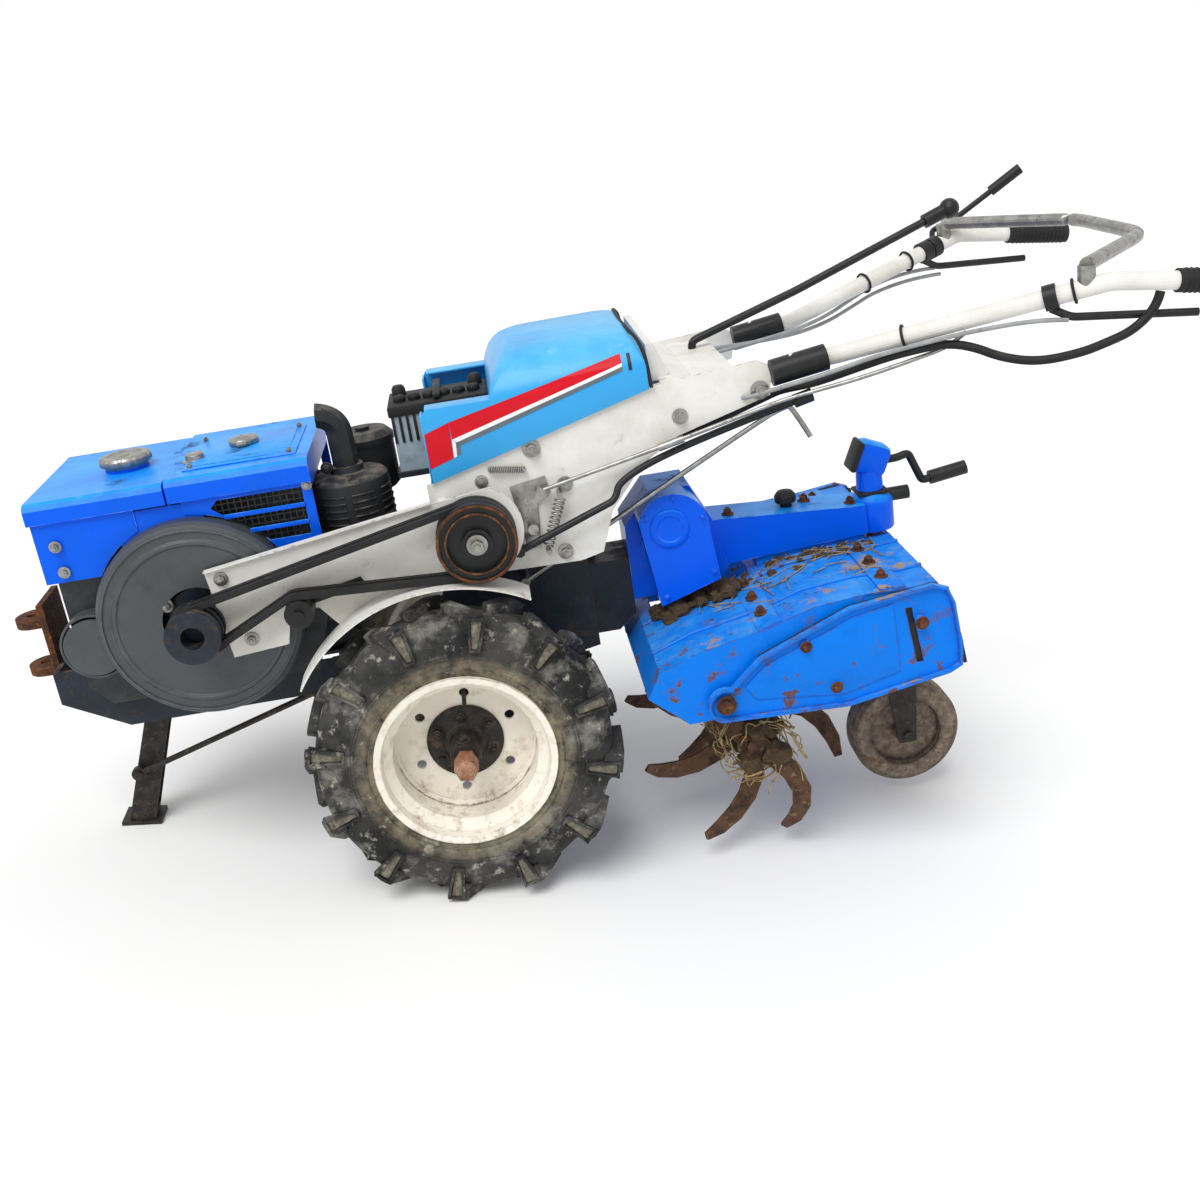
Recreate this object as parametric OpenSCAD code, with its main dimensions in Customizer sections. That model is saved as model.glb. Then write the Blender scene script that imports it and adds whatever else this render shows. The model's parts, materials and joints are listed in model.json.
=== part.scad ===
// Walking tractor with a rear rotary tiller, parked on two wheels and its front stand.
// Millimetres. X forward, Y to the left hand side, Z up, floor at Z = 0.
// Pieces are drawn in the machine's own level frame, centred on the wheel axle,
// and set down nose low by the parked module.

/* [Stance] */
// Tyre diameter over the lug tips
tyre_d = 580; // [560:5:590]
// Tyre width over the lugs
tyre_w = 128; // [112:2:132]
// Distance between the two wheel centre planes
track_w = 570; // [564:2:600]
// Nose down angle of the parked machine in degrees
nose_pitch = 8; // [7:0.5:9]

/* [Wheels] */
// Outer diameter of the rim flange
rim_d = 334; // [310:2:350]
// Diameter of the hub flange bolted to the wheel disc
hub_flange_d = 144; // [120:2:170]
// Diameter of the hub sleeve
hub_sleeve_d = 58; // [52:2:66]
// Width across flats of the hexagonal axle
axle_af = 38; // [34:1:42]
// Reach of the axle end from the machine centre
axle_reach = 376; // [370:2:390]

/* [Engine] */
// Crankshaft height above the wheel axle
crank_z = 306; // [300:1:312]
// Crankshaft distance ahead of the wheel axle
crank_x = 430; // [424:1:436]
// Flywheel cover diameter
cover_d = 370; // [350:2:376]
// Depth of the flywheel cover
cover_h = 64; // [56:1:66]
// Width of the tank and of the radiator shell
tank_w = 364; // [340:2:372]
// Height of the tank shell
tank_h = 38; // [30:1:46]
// Fuel cap diameter
fuel_cap_d = 96; // [80:2:110]
// Engine pulley diameter
engine_pulley_d = 98; // [92:1:104]
// Bore in the end of the engine pulley
pulley_bore_d = 42; // [30:1:50]

/* [Belt drive] */
// Input pulley diameter
input_pulley_d = 144; // [136:1:148]
// Idler diameter
idler_d = 52; // [44:1:56]
// Height of one belt section
belt_h = 11; // [9:0.5:12]
// Width of one belt
belt_w = 13; // [11:0.5:14]

/* [Handles] */
// Distance between the two side plates, outer faces
plate_gap = 364; // [356:2:366]
// Handle tube diameter
tube_d = 32; // [28:1:34]
// Sideways spread of the handle tubes per length
tube_spread = 0.45; // [0.4:0.01:0.48]
// Rise of the handle tubes per length
tube_rise = 0.2155; // [0.19:0.005:0.24]
// Diameter of the bar that joins the handle tubes
loop_d = 25; // [20:1:28]

/* [Tiller] */
// Rotor radius over the tine tips
tine_r = 222; // [200:2:226]
// Half the length of the rotor shaft
rotor_half = 262; // [256:2:280]
// Half the width of the tiller hood
hood_half = 322; // [310:2:324]
// Hood sheet thickness
hood_t = 3; // [2.5:0.5:4]
// Depth wheel diameter
tail_d = 230; // [200:5:236]
// Depth wheel width
tail_w = 60; // [50:2:64]
// Depth wheel post diameter
post_d = 34; // [28:1:36]

/* [Stand] */
// Width of the stand leg
stand_w = 50; // [40:2:52]
// Depth of the stand leg
stand_depth = 52; // [44:2:56]

/* [Clearances] */
// Running clearance of a shaft in its bore
run_gap = 0.05; // [0.03:0.01:0.08]
// Gap between curved faces of pieces that sit together
seat_gap = 0.3; // [0.2:0.05:0.5]
// Gap between a moving piece and what it passes
move_gap = 6; // [5:0.5:8]

/* [Hidden] */
$fn = 48;

tyre_r = tyre_d / 2;
wheel_y = track_w / 2;
// Forward shift that centres the whole machine over the origin
x_shift = 238;

// Engine frame rails
rail_y = 100;
rail_t = 8;
rail_top = 150;
rail_low = 85;
rail_front = 748;
hitch_pin_x = 786;
hitch_ear_r = 37;

// Gearbox and plates
plate_y = plate_gap / 2;
plate_t = 6;
box_half = 95;
box_front = 0;
box_rear = -190;
axle_house_end = 205;

// Engine values
block_left = 146;
cover_y = 150;
lip_z = 521;

// Belt drive values
belt_plate_y = 222;
belt_plate_t = 5;
pulley_end = 298;
belt_pitch = 21;
belt_first = 252;
engine_belt_r = engine_pulley_d / 2 - belt_h / 2;
input_belt_r = input_pulley_d / 2 - belt_h / 2;
idler_belt_r = idler_d / 2 + belt_h / 2 + seat_gap;
input_x = -88;
input_z = 391;
idler_x = 243;
idler_z = 312;

// Handle values
tube_r = tube_d / 2;
collar_x = -655;
collar_end = -758;
tube_y = plate_y - plate_t / 2;
tube_z = 594;
tube_bend_x = -770;
tube_run = 430;
tube_end = [tube_bend_x - tube_run, tube_y + tube_spread * tube_run, tube_z + tube_rise * tube_run];
grip_end = tube_end + [-237, 8, -33];
grip_r = 20;

// Tiller values
rotor_x = -548;
rotor_z = -115;
rotor_r = 22;
post_x = -872;
tail_x = -900;
tail_z = -263;
fork_in = tail_w / 2 + move_gap;
fork_t = 6;

// Stand values
pivot_x = 600;
pivot_z = 92;
foot_x = 708;
stand_y = -50;
rod_pin = [682, -75];
rod_y = stand_y + stand_w / 2 + 12;
rod_end = [285, 58, 67];

// Height of the floor below a level frame position
function floor_z(x) = (x * sin(nose_pitch) - tyre_r) / cos(nose_pitch);

// Points on an arc about a centre, from angle a to angle b
function arc(c, r, a, b, n) = [for (i = [0:n]) c + r * [cos(a + (b - a) * i / n), sin(a + (b - a) * i / n)]];

// Unit vector along a direction
function unit(v) = v / norm(v);

// Inset of a counter-clockwise outline by a distance
function inset(p, d) = [for (i = [0:len(p) - 1])
    let (
        a = p[(i + len(p) - 1) % len(p)],
        b = p[i],
        c = p[(i + 1) % len(p)],
        u = unit(b - a),
        v = unit(c - b),
        m = [-u[1], u[0]],
        n = [-v[1], v[0]]
    )
    b + d * (m + n) / (1 + m * n)];

// Sets the level machine down on the floor, nose low
module parked() {
    translate([x_shift, 0, tyre_r])
        rotate([0, nose_pitch, 0])
            children();
}

// Side view outline in X and Z, thick from y0 to y1
module slab(y0, y1) {
    translate([0, y1, 0])
        rotate([90, 0, 0])
            linear_extrude(height = y1 - y0)
                children();
}

// Round bar across the machine
module ybar(x, z, y0, y1, r) {
    translate([x, y0, z])
        rotate([-90, 0, 0])
            cylinder(h = y1 - y0, r = r);
}

// Round bar between two points
module bar(p, q, r) {
    d = q - p;
    translate(p)
        rotate([0, acos(d[2] / norm(d)), atan2(d[1], d[0])])
            cylinder(h = norm(d), r = r);
}

// Path with its corners rounded over a length d each side
function eased(p, d, n) = concat(
    [p[0]],
    [for (i = [1:len(p) - 2]) for (k = [0:n])
        let (
            a = p[i] + d * unit(p[i - 1] - p[i]),
            b = p[i] + d * unit(p[i + 1] - p[i]),
            t = k / n
        )
        (1 - t) * (1 - t) * a + 2 * t * (1 - t) * p[i] + t * t * b],
    [p[len(p) - 1]]
);

// Round bar swept along a path, as one closed mesh
module swept(path, r, sides = 16) {
    n = len(path);
    along = [for (i = [0:n - 1]) unit(path[min(i + 1, n - 1)] - path[max(i - 1, 0)])];
    across = [for (t = along) unit(cross(t, abs(t[1]) > 0.9 ? [0, 0, 1] : [0, 1, 0]))];
    rings = [for (i = [0:n - 1]) for (k = [0:sides - 1])
        let (
            a = 360 * k / sides
        )
        path[i] + r * (cos(a) * across[i] + sin(a) * cross(along[i], across[i]))];
    walls = [for (i = [0:n - 2]) for (k = [0:sides - 1])
        let (
            a = i * sides + k,
            b = i * sides + (k + 1) % sides
        )
        each [[a, a + sides, b + sides], [a, b + sides, b]]];
    ends = [[for (k = [0:sides - 1]) k], [for (k = [sides - 1:-1:0]) (n - 1) * sides + k]];
    polyhedron(points = rings, faces = concat(walls, ends));
}

// Bent round bar through a list of points
module bent_bar(pts, r, ease = 0, sides = 16) {
    swept(eased(pts, ease > 0 ? ease : 1.5 * r, 4), r, sides);
}

// Round knob as a turned profile
module knob(r) {
    rotate_extrude()
        polygon(arc([0, 0], r, -90, 90, 12));
}

// Point mirrored to the other side of the machine
function side(p, s) = [p[0], s * p[1], p[2]];

// Engine frame: two rails, cross plates and the ears of the stand
module engine_frame() {
    web = [
        [box_front, rail_low], [632, rail_low], [rail_front, 150], [rail_front, 214], [700, 214],
        [650, rail_top], [222, rail_top], [200, 118], [box_front, 118]
    ];
    color("#1b2530")
        parked()
            difference() {
                union() {
                    for (s = [0, 1])
                        mirror([0, s, 0]) {
                            slab(rail_y, rail_y + rail_t)
                                polygon(web);
                            translate([box_front, rail_y - 16, rail_low])
                                cube([630 - box_front, 16 + rail_t, 7]);
                        }
                    translate([rail_front - 10, -rail_y - rail_t, 150])
                        cube([10, 2 * (rail_y + rail_t), 64]);
                    translate([pivot_x - 45, -rail_y, rail_top - 14])
                        cube([90, 2 * rail_y, 14]);
                    translate([20, -rail_y, rail_low])
                        cube([40, 2 * rail_y, 12]);
                    for (y = [stand_y - stand_w / 2 - 6 - 2, stand_y + stand_w / 2 + 2])
                        slab(y, y + 6)
                            polygon([
                                [pivot_x - 26, pivot_z - 20], [pivot_x + 26, pivot_z - 20],
                                [pivot_x + 26, rail_top - 8], [pivot_x - 26, rail_top - 8]
                            ]);
                }
                ybar(pivot_x, pivot_z, stand_y - 40, stand_y + 40, 9 + run_gap);
            }
}

// Front towing clevis
module front_hitch() {
    color("#5b3826")
        parked()
            difference() {
                union() {
                    translate([rail_front, -58, 158])
                        cube([12, 116, 178]);
                    for (z = [186, 284])
                        translate([0, 0, z]) {
                            translate([rail_front + 6, -hitch_ear_r, 0])
                                cube([hitch_pin_x - rail_front - 6, 2 * hitch_ear_r, 17]);
                            translate([hitch_pin_x, 0, 0])
                                cylinder(h = 17, r = hitch_ear_r);
                        }
                    slab(-6, 6)
                        polygon([[rail_front + 6, 296], [hitch_pin_x - 16, 296], [rail_front + 10, 334], [rail_front + 6, 334]]);
                }
                translate([hitch_pin_x + 6, 0, 150])
                    cylinder(h = 200, r = 10);
            }
}

// Engine: crankcase, head and the closed upper body in one block
module engine_block() {
    color("#3f4345")
        parked()
            union() {
                slab(-160, block_left)
                    polygon([[250, 150], [640, 150], [676, 190], [676, 400], [215, 400], [215, 250]]);
                slab(-160, 104)
                    polygon([[215, 399], [430, 399], [430, lip_z], [215, lip_z]]);
                slab(-160, block_left)
                    polygon([[440, 399], [676, 399], [676, lip_z], [429, lip_z], [429, 430]]);
                ybar(crank_x, crank_z, block_left - 2, cover_y, cover_d / 2);
            }
}

// Pressed cover of the flywheel with the starter bulge
module flywheel_cover() {
    r = cover_d / 2;
    h = cover_h;
    bulge = [632, 282];
    color("#45494b")
        parked()
            union() {
                translate([crank_x, cover_y, crank_z])
                    rotate([-90, 0, 0])
                        rotate_extrude($fn = 96)
                            polygon([
                                [66, h - 4], [66, h], [r - 42, h], [r - 38, h + 3], [r - 33, h + 3], [r - 29, h - 1],
                                [r - 14, h - 1], [r - 5, h - 5], [r, h - 14], [r, 0], [r - 3, 0], [r - 3, h - 14],
                                [r - 8, h - 8], [r - 14, h - 5], [r - 42, h - 4]
                            ]);
                difference() {
                    union() {
                        ybar(bulge[0], bulge[1], cover_y, cover_y + 36, 62);
                        ybar(bulge[0], bulge[1], cover_y + 36, cover_y + 42, 54);
                    }
                    ybar(bulge[0], bulge[1], cover_y - 1, cover_y + 36, 58);
                    ybar(crank_x, crank_z, cover_y - 2, cover_y + 100, r - 2);
                }
            }
}

// Crank end, hub disc and grooved pulley with an open bore
module engine_pulley() {
    r = engine_pulley_d / 2;
    g = belt_h + 0.5;
    w = belt_w + 1;
    color("#6d7072")
        parked()
            difference() {
                union() {
                    ybar(crank_x, crank_z, cover_y, 205, 30);
                    ybar(crank_x, crank_z, 172, 190, 58);
                    ybar(crank_x, crank_z, 234, pulley_end, r);
                    ybar(crank_x, crank_z, 204, 235, 34);
                }
                for (i = [0, 1])
                    translate([crank_x, belt_first + i * belt_pitch - w / 2, crank_z])
                        rotate([-90, 0, 0])
                            difference() {
                                cylinder(h = w, r = r + 1);
                                translate([0, 0, -1])
                                    cylinder(h = w + 2, r = r - g);
                            }
                ybar(crank_x, crank_z, pulley_end - 44, pulley_end + 1, pulley_bore_d / 2);
            }
}

// Top shell with a sloping shoulder
module shell_top(x0, x1, z1) {
    w = tank_w / 2;
    translate([x0, 0, lip_z])
        rotate([90, 0, 90])
            linear_extrude(height = x1 - x0)
                polygon([
                    [-w, 0], [w, 0], [w, z1 - lip_z - 12], [w - 5, z1 - lip_z - 4], [w - 14, z1 - lip_z],
                    [-w + 14, z1 - lip_z], [-w + 5, z1 - lip_z - 4], [-w, z1 - lip_z - 12]
                ]);
}

// Fuel tank at the front of the engine top
module fuel_tank() {
    color("#1565e0")
        parked()
            union() {
                shell_top(445, 691, lip_z + tank_h);
                translate([537, 10, lip_z + tank_h - 2])
                    cylinder(h = 8, r = fuel_cap_d / 2 - 8);
            }
}

// Radiator shell at the rear of the engine top
module radiator_cover() {
    color("#1565e0")
        parked()
            shell_top(186, 441, lip_z + tank_h + 4);
}

// Fuel cap and the two smaller filler caps
module filler_caps() {
    top = lip_z + tank_h;
    color("#8d8f8e")
        parked() {
            translate([537, 10, top + 6])
                cylinder(h = 16, r = fuel_cap_d / 2);
            translate([401, 60, top + 4])
                cylinder(h = 14, r = 17);
            translate([318, 0, top + 4])
                cylinder(h = 16, r = 28);
        }
}

// Blue panels below the tank, with the grille window
module engine_shroud() {
    y = tank_w / 2 - 8;
    window = [[206, 424], [280, 424], [372, 498], [358, 512], [206, 512]];
    color("#1565e0")
        parked()
            difference() {
                union() {
                    slab(y - 3, y)
                        polygon([[505, 408], [687, 408], [687, lip_z], [505, lip_z]]);
                    slab(y - 3, y)
                        polygon([[188, 408], [420, 408], [420, lip_z], [188, lip_z]]);
                    slab(-y, -y + 3)
                        polygon([[188, 408], [687, 408], [687, lip_z], [188, lip_z]]);
                    translate([684, -y, 408])
                        cube([3, 2 * y, lip_z - 408]);
                    translate([188, -y, lip_z - 12])
                        cube([3, 2 * y, 12]);
                }
                ybar(crank_x, crank_z, y - 20, y + 20, cover_d / 2 + 4);
                slab(y - 20, y + 20)
                    polygon(window);
                slab(-y - 20, -y + 20)
                    polygon(window);
            }
}

// Wire grille behind the shroud window
module side_grille() {
    y = tank_w / 2 - 8 - 3 - 3;
    color("#2a2d2f")
        parked()
            difference() {
                union() {
                    for (i = [0:15])
                        translate([200 + i * 11.6, y - 2, 415])
                            cube([2.4, 2, 104]);
                    for (i = [0:8])
                        translate([196, y - 2, 420 + i * 11.6])
                            cube([182, 2, 2.4]);
                    slab(y - 2, y + 3)
                        polygon([[196, 414], [199, 414], [199, 519], [196, 519]]);
                }
                ybar(crank_x, crank_z, y - 20, y + 20, cover_d / 2 + 5);
            }
}

// Muffler drum with its pipe to the engine and the exhaust elbow
module muffler() {
    c = [130, 84];
    pipe = [[c[0], c[1], 500], [c[0], c[1], 576], [c[0] + 14, c[1] + 3, 598], [c[0] + 50, c[1] + 10, 616]];
    color("#141516")
        parked()
            difference() {
                union() {
                    translate([c[0], c[1], 374])
                        rotate_extrude()
                            polygon([[0, 0], [64, 0], [73, 9], [73, 124], [66, 131], [0, 131]]);
                    bar([c[0] + 40, c[1], 440], [215, c[1], 440], 17);
                    bent_bar(pipe, 19, 12, 24);
                }
                bent_bar([pipe[0] + [0, 0, 20], pipe[1], pipe[2], pipe[3] + [20, 4, 14]], 16, 12, 24);
                translate(pipe[3])
                    rotate([0, -14, 0])
                        translate([-6, -40, -40])
                            cube([80, 80, 80]);
            }
}

// Air cleaner bowl with its lid and inlet pipe
module air_cleaner() {
    c = [104, -75];
    color("#1d1f20")
        parked()
            union() {
                translate([c[0], c[1], 425])
                    rotate_extrude()
                        polygon([[0, 0], [48, 0], [56, 8], [56, 92], [58, 92], [58, 104], [46, 116], [14, 116], [14, 122], [0, 122]]);
                bar([c[0] + 40, c[1], 455], [215, c[1], 455], 20);
            }
}

// Battery case with lid and filler plugs
module battery() {
    color("#c3c8ca")
        parked()
            union() {
                translate([-145, -62, 480])
                    cube([180, 124, 104]);
                translate([-147, -64, 584])
                    cube([184, 128, 16]);
                for (i = [0:5])
                    translate([-124 + i * 28, 20, 599])
                        cylinder(h = 8, r = 9);
            }
}

// Bonnet over the gearbox: raised rear with two forward cheeks
module bonnet() {
    t = 4;
    w = 190;
    color("#5bb8ea")
        parked()
            difference() {
                union() {
                    hull() {
                        slab(-w, w)
                            polygon([[-150, 514], [-150, 612], [-434, 640], [-438, 590]]);
                        slab(-112, 112)
                            polygon([[-150, 514], [-196, 688], [-412, 692], [-438, 590]]);
                    }
                    for (s = [0, 1])
                        mirror([0, s, 0]) {
                            slab(w - t, w)
                                polygon([[-24, 481], [-26, 606], [-36, 616], [-152, 616], [-152, 514]]);
                            translate([-152, w - 46, 612])
                                cube([118, 44, t]);
                            translate([-28, w - 46, 483])
                                cube([t, 46, 123]);
                        }
                }
                hull() {
                    slab(-w + t, w - t)
                        polygon([[-154, 480], [-154, 608], [-430, 637], [-434, 560]]);
                    slab(-110, 110)
                        polygon([[-154, 480], [-198, 684], [-409, 688], [-434, 560]]);
                }
                for (s = [0, 1])
                    mirror([0, s, 0])
                        translate([0, 0, 1])
                            slab(plate_y - plate_t - 1, plate_y + 1)
                                plate_shape();
            }
}

// Pale rear panel under the bonnet's rear edge, with the cross plate for the levers
module bonnet_rear() {
    w = plate_y - plate_t;
    color("#d5d6d4")
        parked()
            union() {
                slab(-160, 160)
                    polygon([[-439, 596], [-439, 664], [-452, 664], [-478, 604], [-478, 596]]);
                slab(-w, w)
                    polygon([[-455, 556], [-600, 576], [-600, 590], [-520, 590], [-478, 604], [-455, 600]]);
            }
}

// Side view of a side plate
module plate_shape() {
    polygon([
        [-14, 296], [-14, 478], [-440, 594], [-632, 608], [-650, 598], [collar_x, 574], [-650, 542],
        [-474, 494], [-404, 452], [-340, 376], [-312, 300], [-270, 290]
    ]);
}

// Left side plate
module side_plate_left() {
    color("#dedcd5")
        parked()
            difference() {
                slab(plate_y - plate_t, plate_y)
                    plate_shape();
                ybar(input_x, input_z, 0, 300, 32);
            }
}

// Right side plate
module side_plate_right() {
    color("#dedcd5")
        parked()
            slab(-plate_y, -plate_y + plate_t)
                plate_shape();
}

// Gearbox with axle housings, plate bosses and input shaft housing
module gearbox() {
    pin_y = plate_y - plate_t;
    color("#2b3338")
        parked()
            difference() {
                union() {
                    slab(-box_half, box_half)
                        polygon([
                            [box_front, 40], [box_front, 300], [-20, 330], [box_rear - 20, 330], [box_rear, 300],
                            [box_rear, 20], [-120, -70], [-40, -70]
                        ]);
                    slab(-148, 148)
                        polygon([[-20, 300], [-20, 471], [-220, 471], [-226, 300]]);
                    ybar(0, 0, -axle_house_end, axle_house_end, 48);
                    for (p = [[-60, 330], [-200, 330], [-200, 440], [-40, 440]])
                        ybar(p[0], p[1], -pin_y, pin_y, 14);
                    translate([-150, -70, 470])
                        cube([190, 140, 10]);
                }
                ybar(0, 0, -400, 400, axle_af / 2 + 1 + run_gap);
            }
}

// White plate behind the belts, with its spacers
module belt_plate() {
    y1 = belt_plate_y + belt_plate_t;
    outline = concat(
        [[399, 403], [383, 232], [281, 240], [268, 296], [214, 300], [182, 258], [74, 306], [-11, 306]],
        arc([input_x, input_z], 86, -72, -245, 20)
    );
    color("#e4e3de")
        parked()
            difference() {
                union() {
                    slab(belt_plate_y, y1)
                        polygon(outline);
                    slab(belt_plate_y, y1 + 9)
                        polygon([[399, 403], [399, 400], [-17, 458], [-17, 461]]);
                    for (p = [[-36, 440], [-36, 330]])
                        ybar(p[0], p[1], plate_y, belt_plate_y + 1, 12);
                }
                ybar(input_x, input_z, 0, 400, 32);
            }
}

// Angles of the belt runs
function run_angle(a, b, ra, rb, up) =
    let (d = b - a)
    atan2(d[1], d[0]) + up * acos((ra - rb) / norm(d));
pulley_a = [crank_x, crank_z];
pulley_b = [input_x, input_z];
pulley_i = [idler_x, idler_z];
ang_top = run_angle(pulley_a, pulley_b, engine_belt_r, input_belt_r, -1);
ang_rear = run_angle(pulley_b, pulley_i, -input_belt_r, idler_belt_r, 1);
ang_front = run_angle(pulley_i, pulley_a, idler_belt_r, -engine_belt_r, 1);

// Belt outline at a distance outside the belt's middle line
function belt_line(e) = concat(
    arc(pulley_a, engine_belt_r + e, ang_front - 180, ang_top, 20),
    arc(pulley_b, input_belt_r + e, ang_top, ang_rear + 180, 20),
    arc(pulley_i, idler_belt_r - e, ang_rear, ang_front, 6)
);

// Two drive belts
module drive_belts() {
    color("#17181a")
        parked()
            for (i = [0, 1])
                slab(belt_first + i * belt_pitch - belt_w / 2, belt_first + i * belt_pitch + belt_w / 2)
                    difference() {
                        polygon(belt_line(belt_h / 2));
                        polygon(belt_line(-belt_h / 2));
                    }
}

// Idler roller on its arm
module idler_pulley() {
    y1 = belt_plate_y + belt_plate_t;
    color("#2a2b2c")
        parked()
            union() {
                ybar(idler_x, idler_z, 240, 284, idler_d / 2);
                ybar(idler_x, idler_z, y1, 292, 9);
                slab(y1, y1 + 6)
                    polygon([[idler_x + 14, idler_z - 8], [idler_x + 14, idler_z + 8], [130, 346], [122, 330]]);
            }
}

// Input pulley on the gearbox shaft
module input_pulley() {
    r = input_pulley_d / 2;
    g = belt_h + 0.5;
    w = belt_w + 1;
    color("#34373a")
        parked()
            difference() {
                union() {
                    ybar(input_x, input_z, 148, pulley_end - 8, 20);
                    ybar(input_x, input_z, 238, pulley_end - 4, r);
                }
                for (i = [0, 1])
                    translate([input_x, belt_first + i * belt_pitch - w / 2, input_z])
                        rotate([-90, 0, 0])
                            difference() {
                                cylinder(h = w, r = r + 1);
                                translate([0, 0, -1])
                                    cylinder(h = w + 2, r = r - g);
                            }
                translate([input_x, pulley_end - 16, input_z])
                    rotate([-90, 0, 0])
                        difference() {
                            cylinder(h = 20, r = r - 18);
                            translate([0, 0, -1])
                                cylinder(h = 30, r = 26);
                        }
            }
}

// White splash guard over the left tyre
module fender() {
    r = tyre_r + 28;
    color("#e2e1db")
        parked()
            slab(belt_plate_y + belt_plate_t, 300)
                polygon(concat(arc([0, 0], r + 3, 33, 121, 44), arc([0, 0], r, 121, 33, 44)));
}

// Two handle tubes
module handle_tubes() {
    color("#dcdad3")
        parked()
            for (s = [-1, 1])
                bent_bar([
                    side([-690, tube_y, tube_z], s), side([tube_bend_x, tube_y, tube_z], s),
                    side(tube_end, s), side(grip_end, s)
                ], tube_r, 12, 20);
}

// Black collars that join the tubes to the side plates
module handle_collars() {
    color("#1a1b1c")
        parked()
            for (s = [-1, 1])
                difference() {
                    bar(side([collar_x, tube_y, tube_z - 14], s), side([collar_end, tube_y, tube_z], s), 24);
                    bar(side([-690, tube_y, tube_z], s), side([tube_bend_x, tube_y, tube_z], s), tube_r + run_gap);
                    translate([collar_x, -400, 500])
                        cube([60, 800, 200]);
                }
}

// Ribbed hand grips
module grips() {
    d = unit(grip_end - tube_end);
    color("#151617")
        parked()
            for (s = [-1, 1])
                difference() {
                    bar(side(grip_end - 128 * d, s), side(grip_end + 5 * d, s), grip_r);
                    bar(side(grip_end - 140 * d, s), side(grip_end, s), tube_r + run_gap);
                }
}

// Bar that joins the two tubes, with its clamps
module loop_bar() {
    d = unit([tube_bend_x, tube_y, tube_z] - tube_end);
    hold = tube_end + 40 * d;
    foot = hold + [0, 0, 38];
    corner = [-1363, 140, 716];
    color("#8f8a80")
        parked()
            difference() {
                union() {
                    bent_bar([side(foot, -1), side(corner, -1), corner, foot], loop_d / 2, 45);
                    for (s = [-1, 1])
                        bar(side(hold, s), side(foot, s), 15);
                }
                for (s = [-1, 1])
                    bar(side(tube_end, s), side([tube_bend_x, tube_y, tube_z], s), tube_r + run_gap);
            }
}

// Side clutch levers below the grips
module hand_levers() {
    d = unit(tube_end - [tube_bend_x, tube_y, tube_z]);
    base = tube_end - 110 * d;
    color("#2b2d2e")
        parked()
            for (s = [-1, 1])
                difference() {
                    union() {
                        bar(side(base, s), side(base + 22 * d, s), tube_r + 6);
                        bent_bar([
                            side(base + 11 * d + [0, 0, -tube_r - 3], s), side(base + [-40, 16, -34], s),
                            side(grip_end + [90, -2, -40], s)
                        ], 7);
                    }
                    bar(side(base - 40 * d, s), side(base + 60 * d, s), tube_r + run_gap);
                }
}

// Long main clutch lever
module main_lever() {
    color("#191a1b")
        parked()
            union() {
                bent_bar([[-560, -100, 590], [-560, -100, 604], [-783, -130, 665], [-1090, -165, 764]], 8);
                bar([-1060, -162, 754], [-1110, -167, 771], 14);
                translate([-1114, -167, 772])
                    knob(20);
            }
}

// Lever on the right handle tube
module shift_lever() {
    d = unit(tube_end - [tube_bend_x, tube_y, tube_z]);
    base = tube_end - 84 * d;
    color("#1b1c1d")
        parked()
            difference() {
                union() {
                    bar(side(base, -1), side(base + 22 * d, -1), tube_r + 6);
                    bent_bar([side(base + 11 * d, -1), [-1146, -380, 702], [-1205, -384, 722], [-1312, -362, 790]], 6);
                    bar([-1274, -370, 766], [-1336, -357, 806], 11);
                }
                bar(side(base - 40 * d, -1), side(base + 60 * d, -1), tube_r + run_gap);
            }
}

// Linkage on the left side plate
module clutch_linkage() {
    color("#7c7d7b")
        parked()
            union() {
                ybar(-190, 372, plate_y, plate_y + 26, 10);
                bar([-190, plate_y + 14, 372], [-176, plate_y + 14, 270], 7);
            }
}

// Operating rods
module control_rods() {
    color("#606260")
        parked()
            union() {
                ybar(-186, 408, plate_y, plate_y + 18, 8);
                bent_bar([[-186, plate_y + 9, 408], [-300, plate_y + 9, 462], [-500, plate_y + 9, 540]], 5);
                ybar(-500, 540, plate_y, plate_y + 18, 8);
            }
}

// Hitch between gearbox and tiller
module rear_hitch() {
    color("#1b2530")
        parked()
            union() {
                slab(-70, 70)
                    polygon([[box_rear, 80], [box_rear, 250], [-286, 250], [-286, 70], [-230, 60]]);
                slab(-58, 58)
                    polygon([[-286, 90], [-286, 236], [-366, 236], [-366, 120], [-330, 90]]);
                translate([-292, 0, 230])
                    cylinder(h = 44, r = 13);
            }
}

// Drive case of the tiller with its centre leg
module tiller_case() {
    chain = concat(arc([-452, 303], 68, 20, 175, 20), [[-532, 188], [-412, 150]]);
    color("#1e78e4")
        parked()
            difference() {
                union() {
                    slab(-60, 60)
                        polygon([
                            [-366, 150], [-366, 300], [-420, 362], [-500, 362], [-540, 280], [-560, 185],
                            [-548, 168], [-412, 150]
                        ]);
                    slab(59, 128)
                        polygon(chain);
                    slab(-32, 32)
                        polygon([[-412, 152], [-548, 170], [-592, -90], [-505, -90]]);
                    ybar(rotor_x, rotor_z, -38, 38, 62);
                }
                ybar(rotor_x, rotor_z, -60, 60, rotor_r + run_gap);
            }
}

// Beam that carries the depth wheel column
function beam_low(x) = 185 + (200 - 185) * (x + 560) / (-845 + 560);
module tiller_beam() {
    color("#1e78e4")
        parked()
            slab(-48, 48)
                polygon([[-540, 280], [-845, 258], [-845, beam_low(-845)], [-560, beam_low(-560)]]);
}

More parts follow.
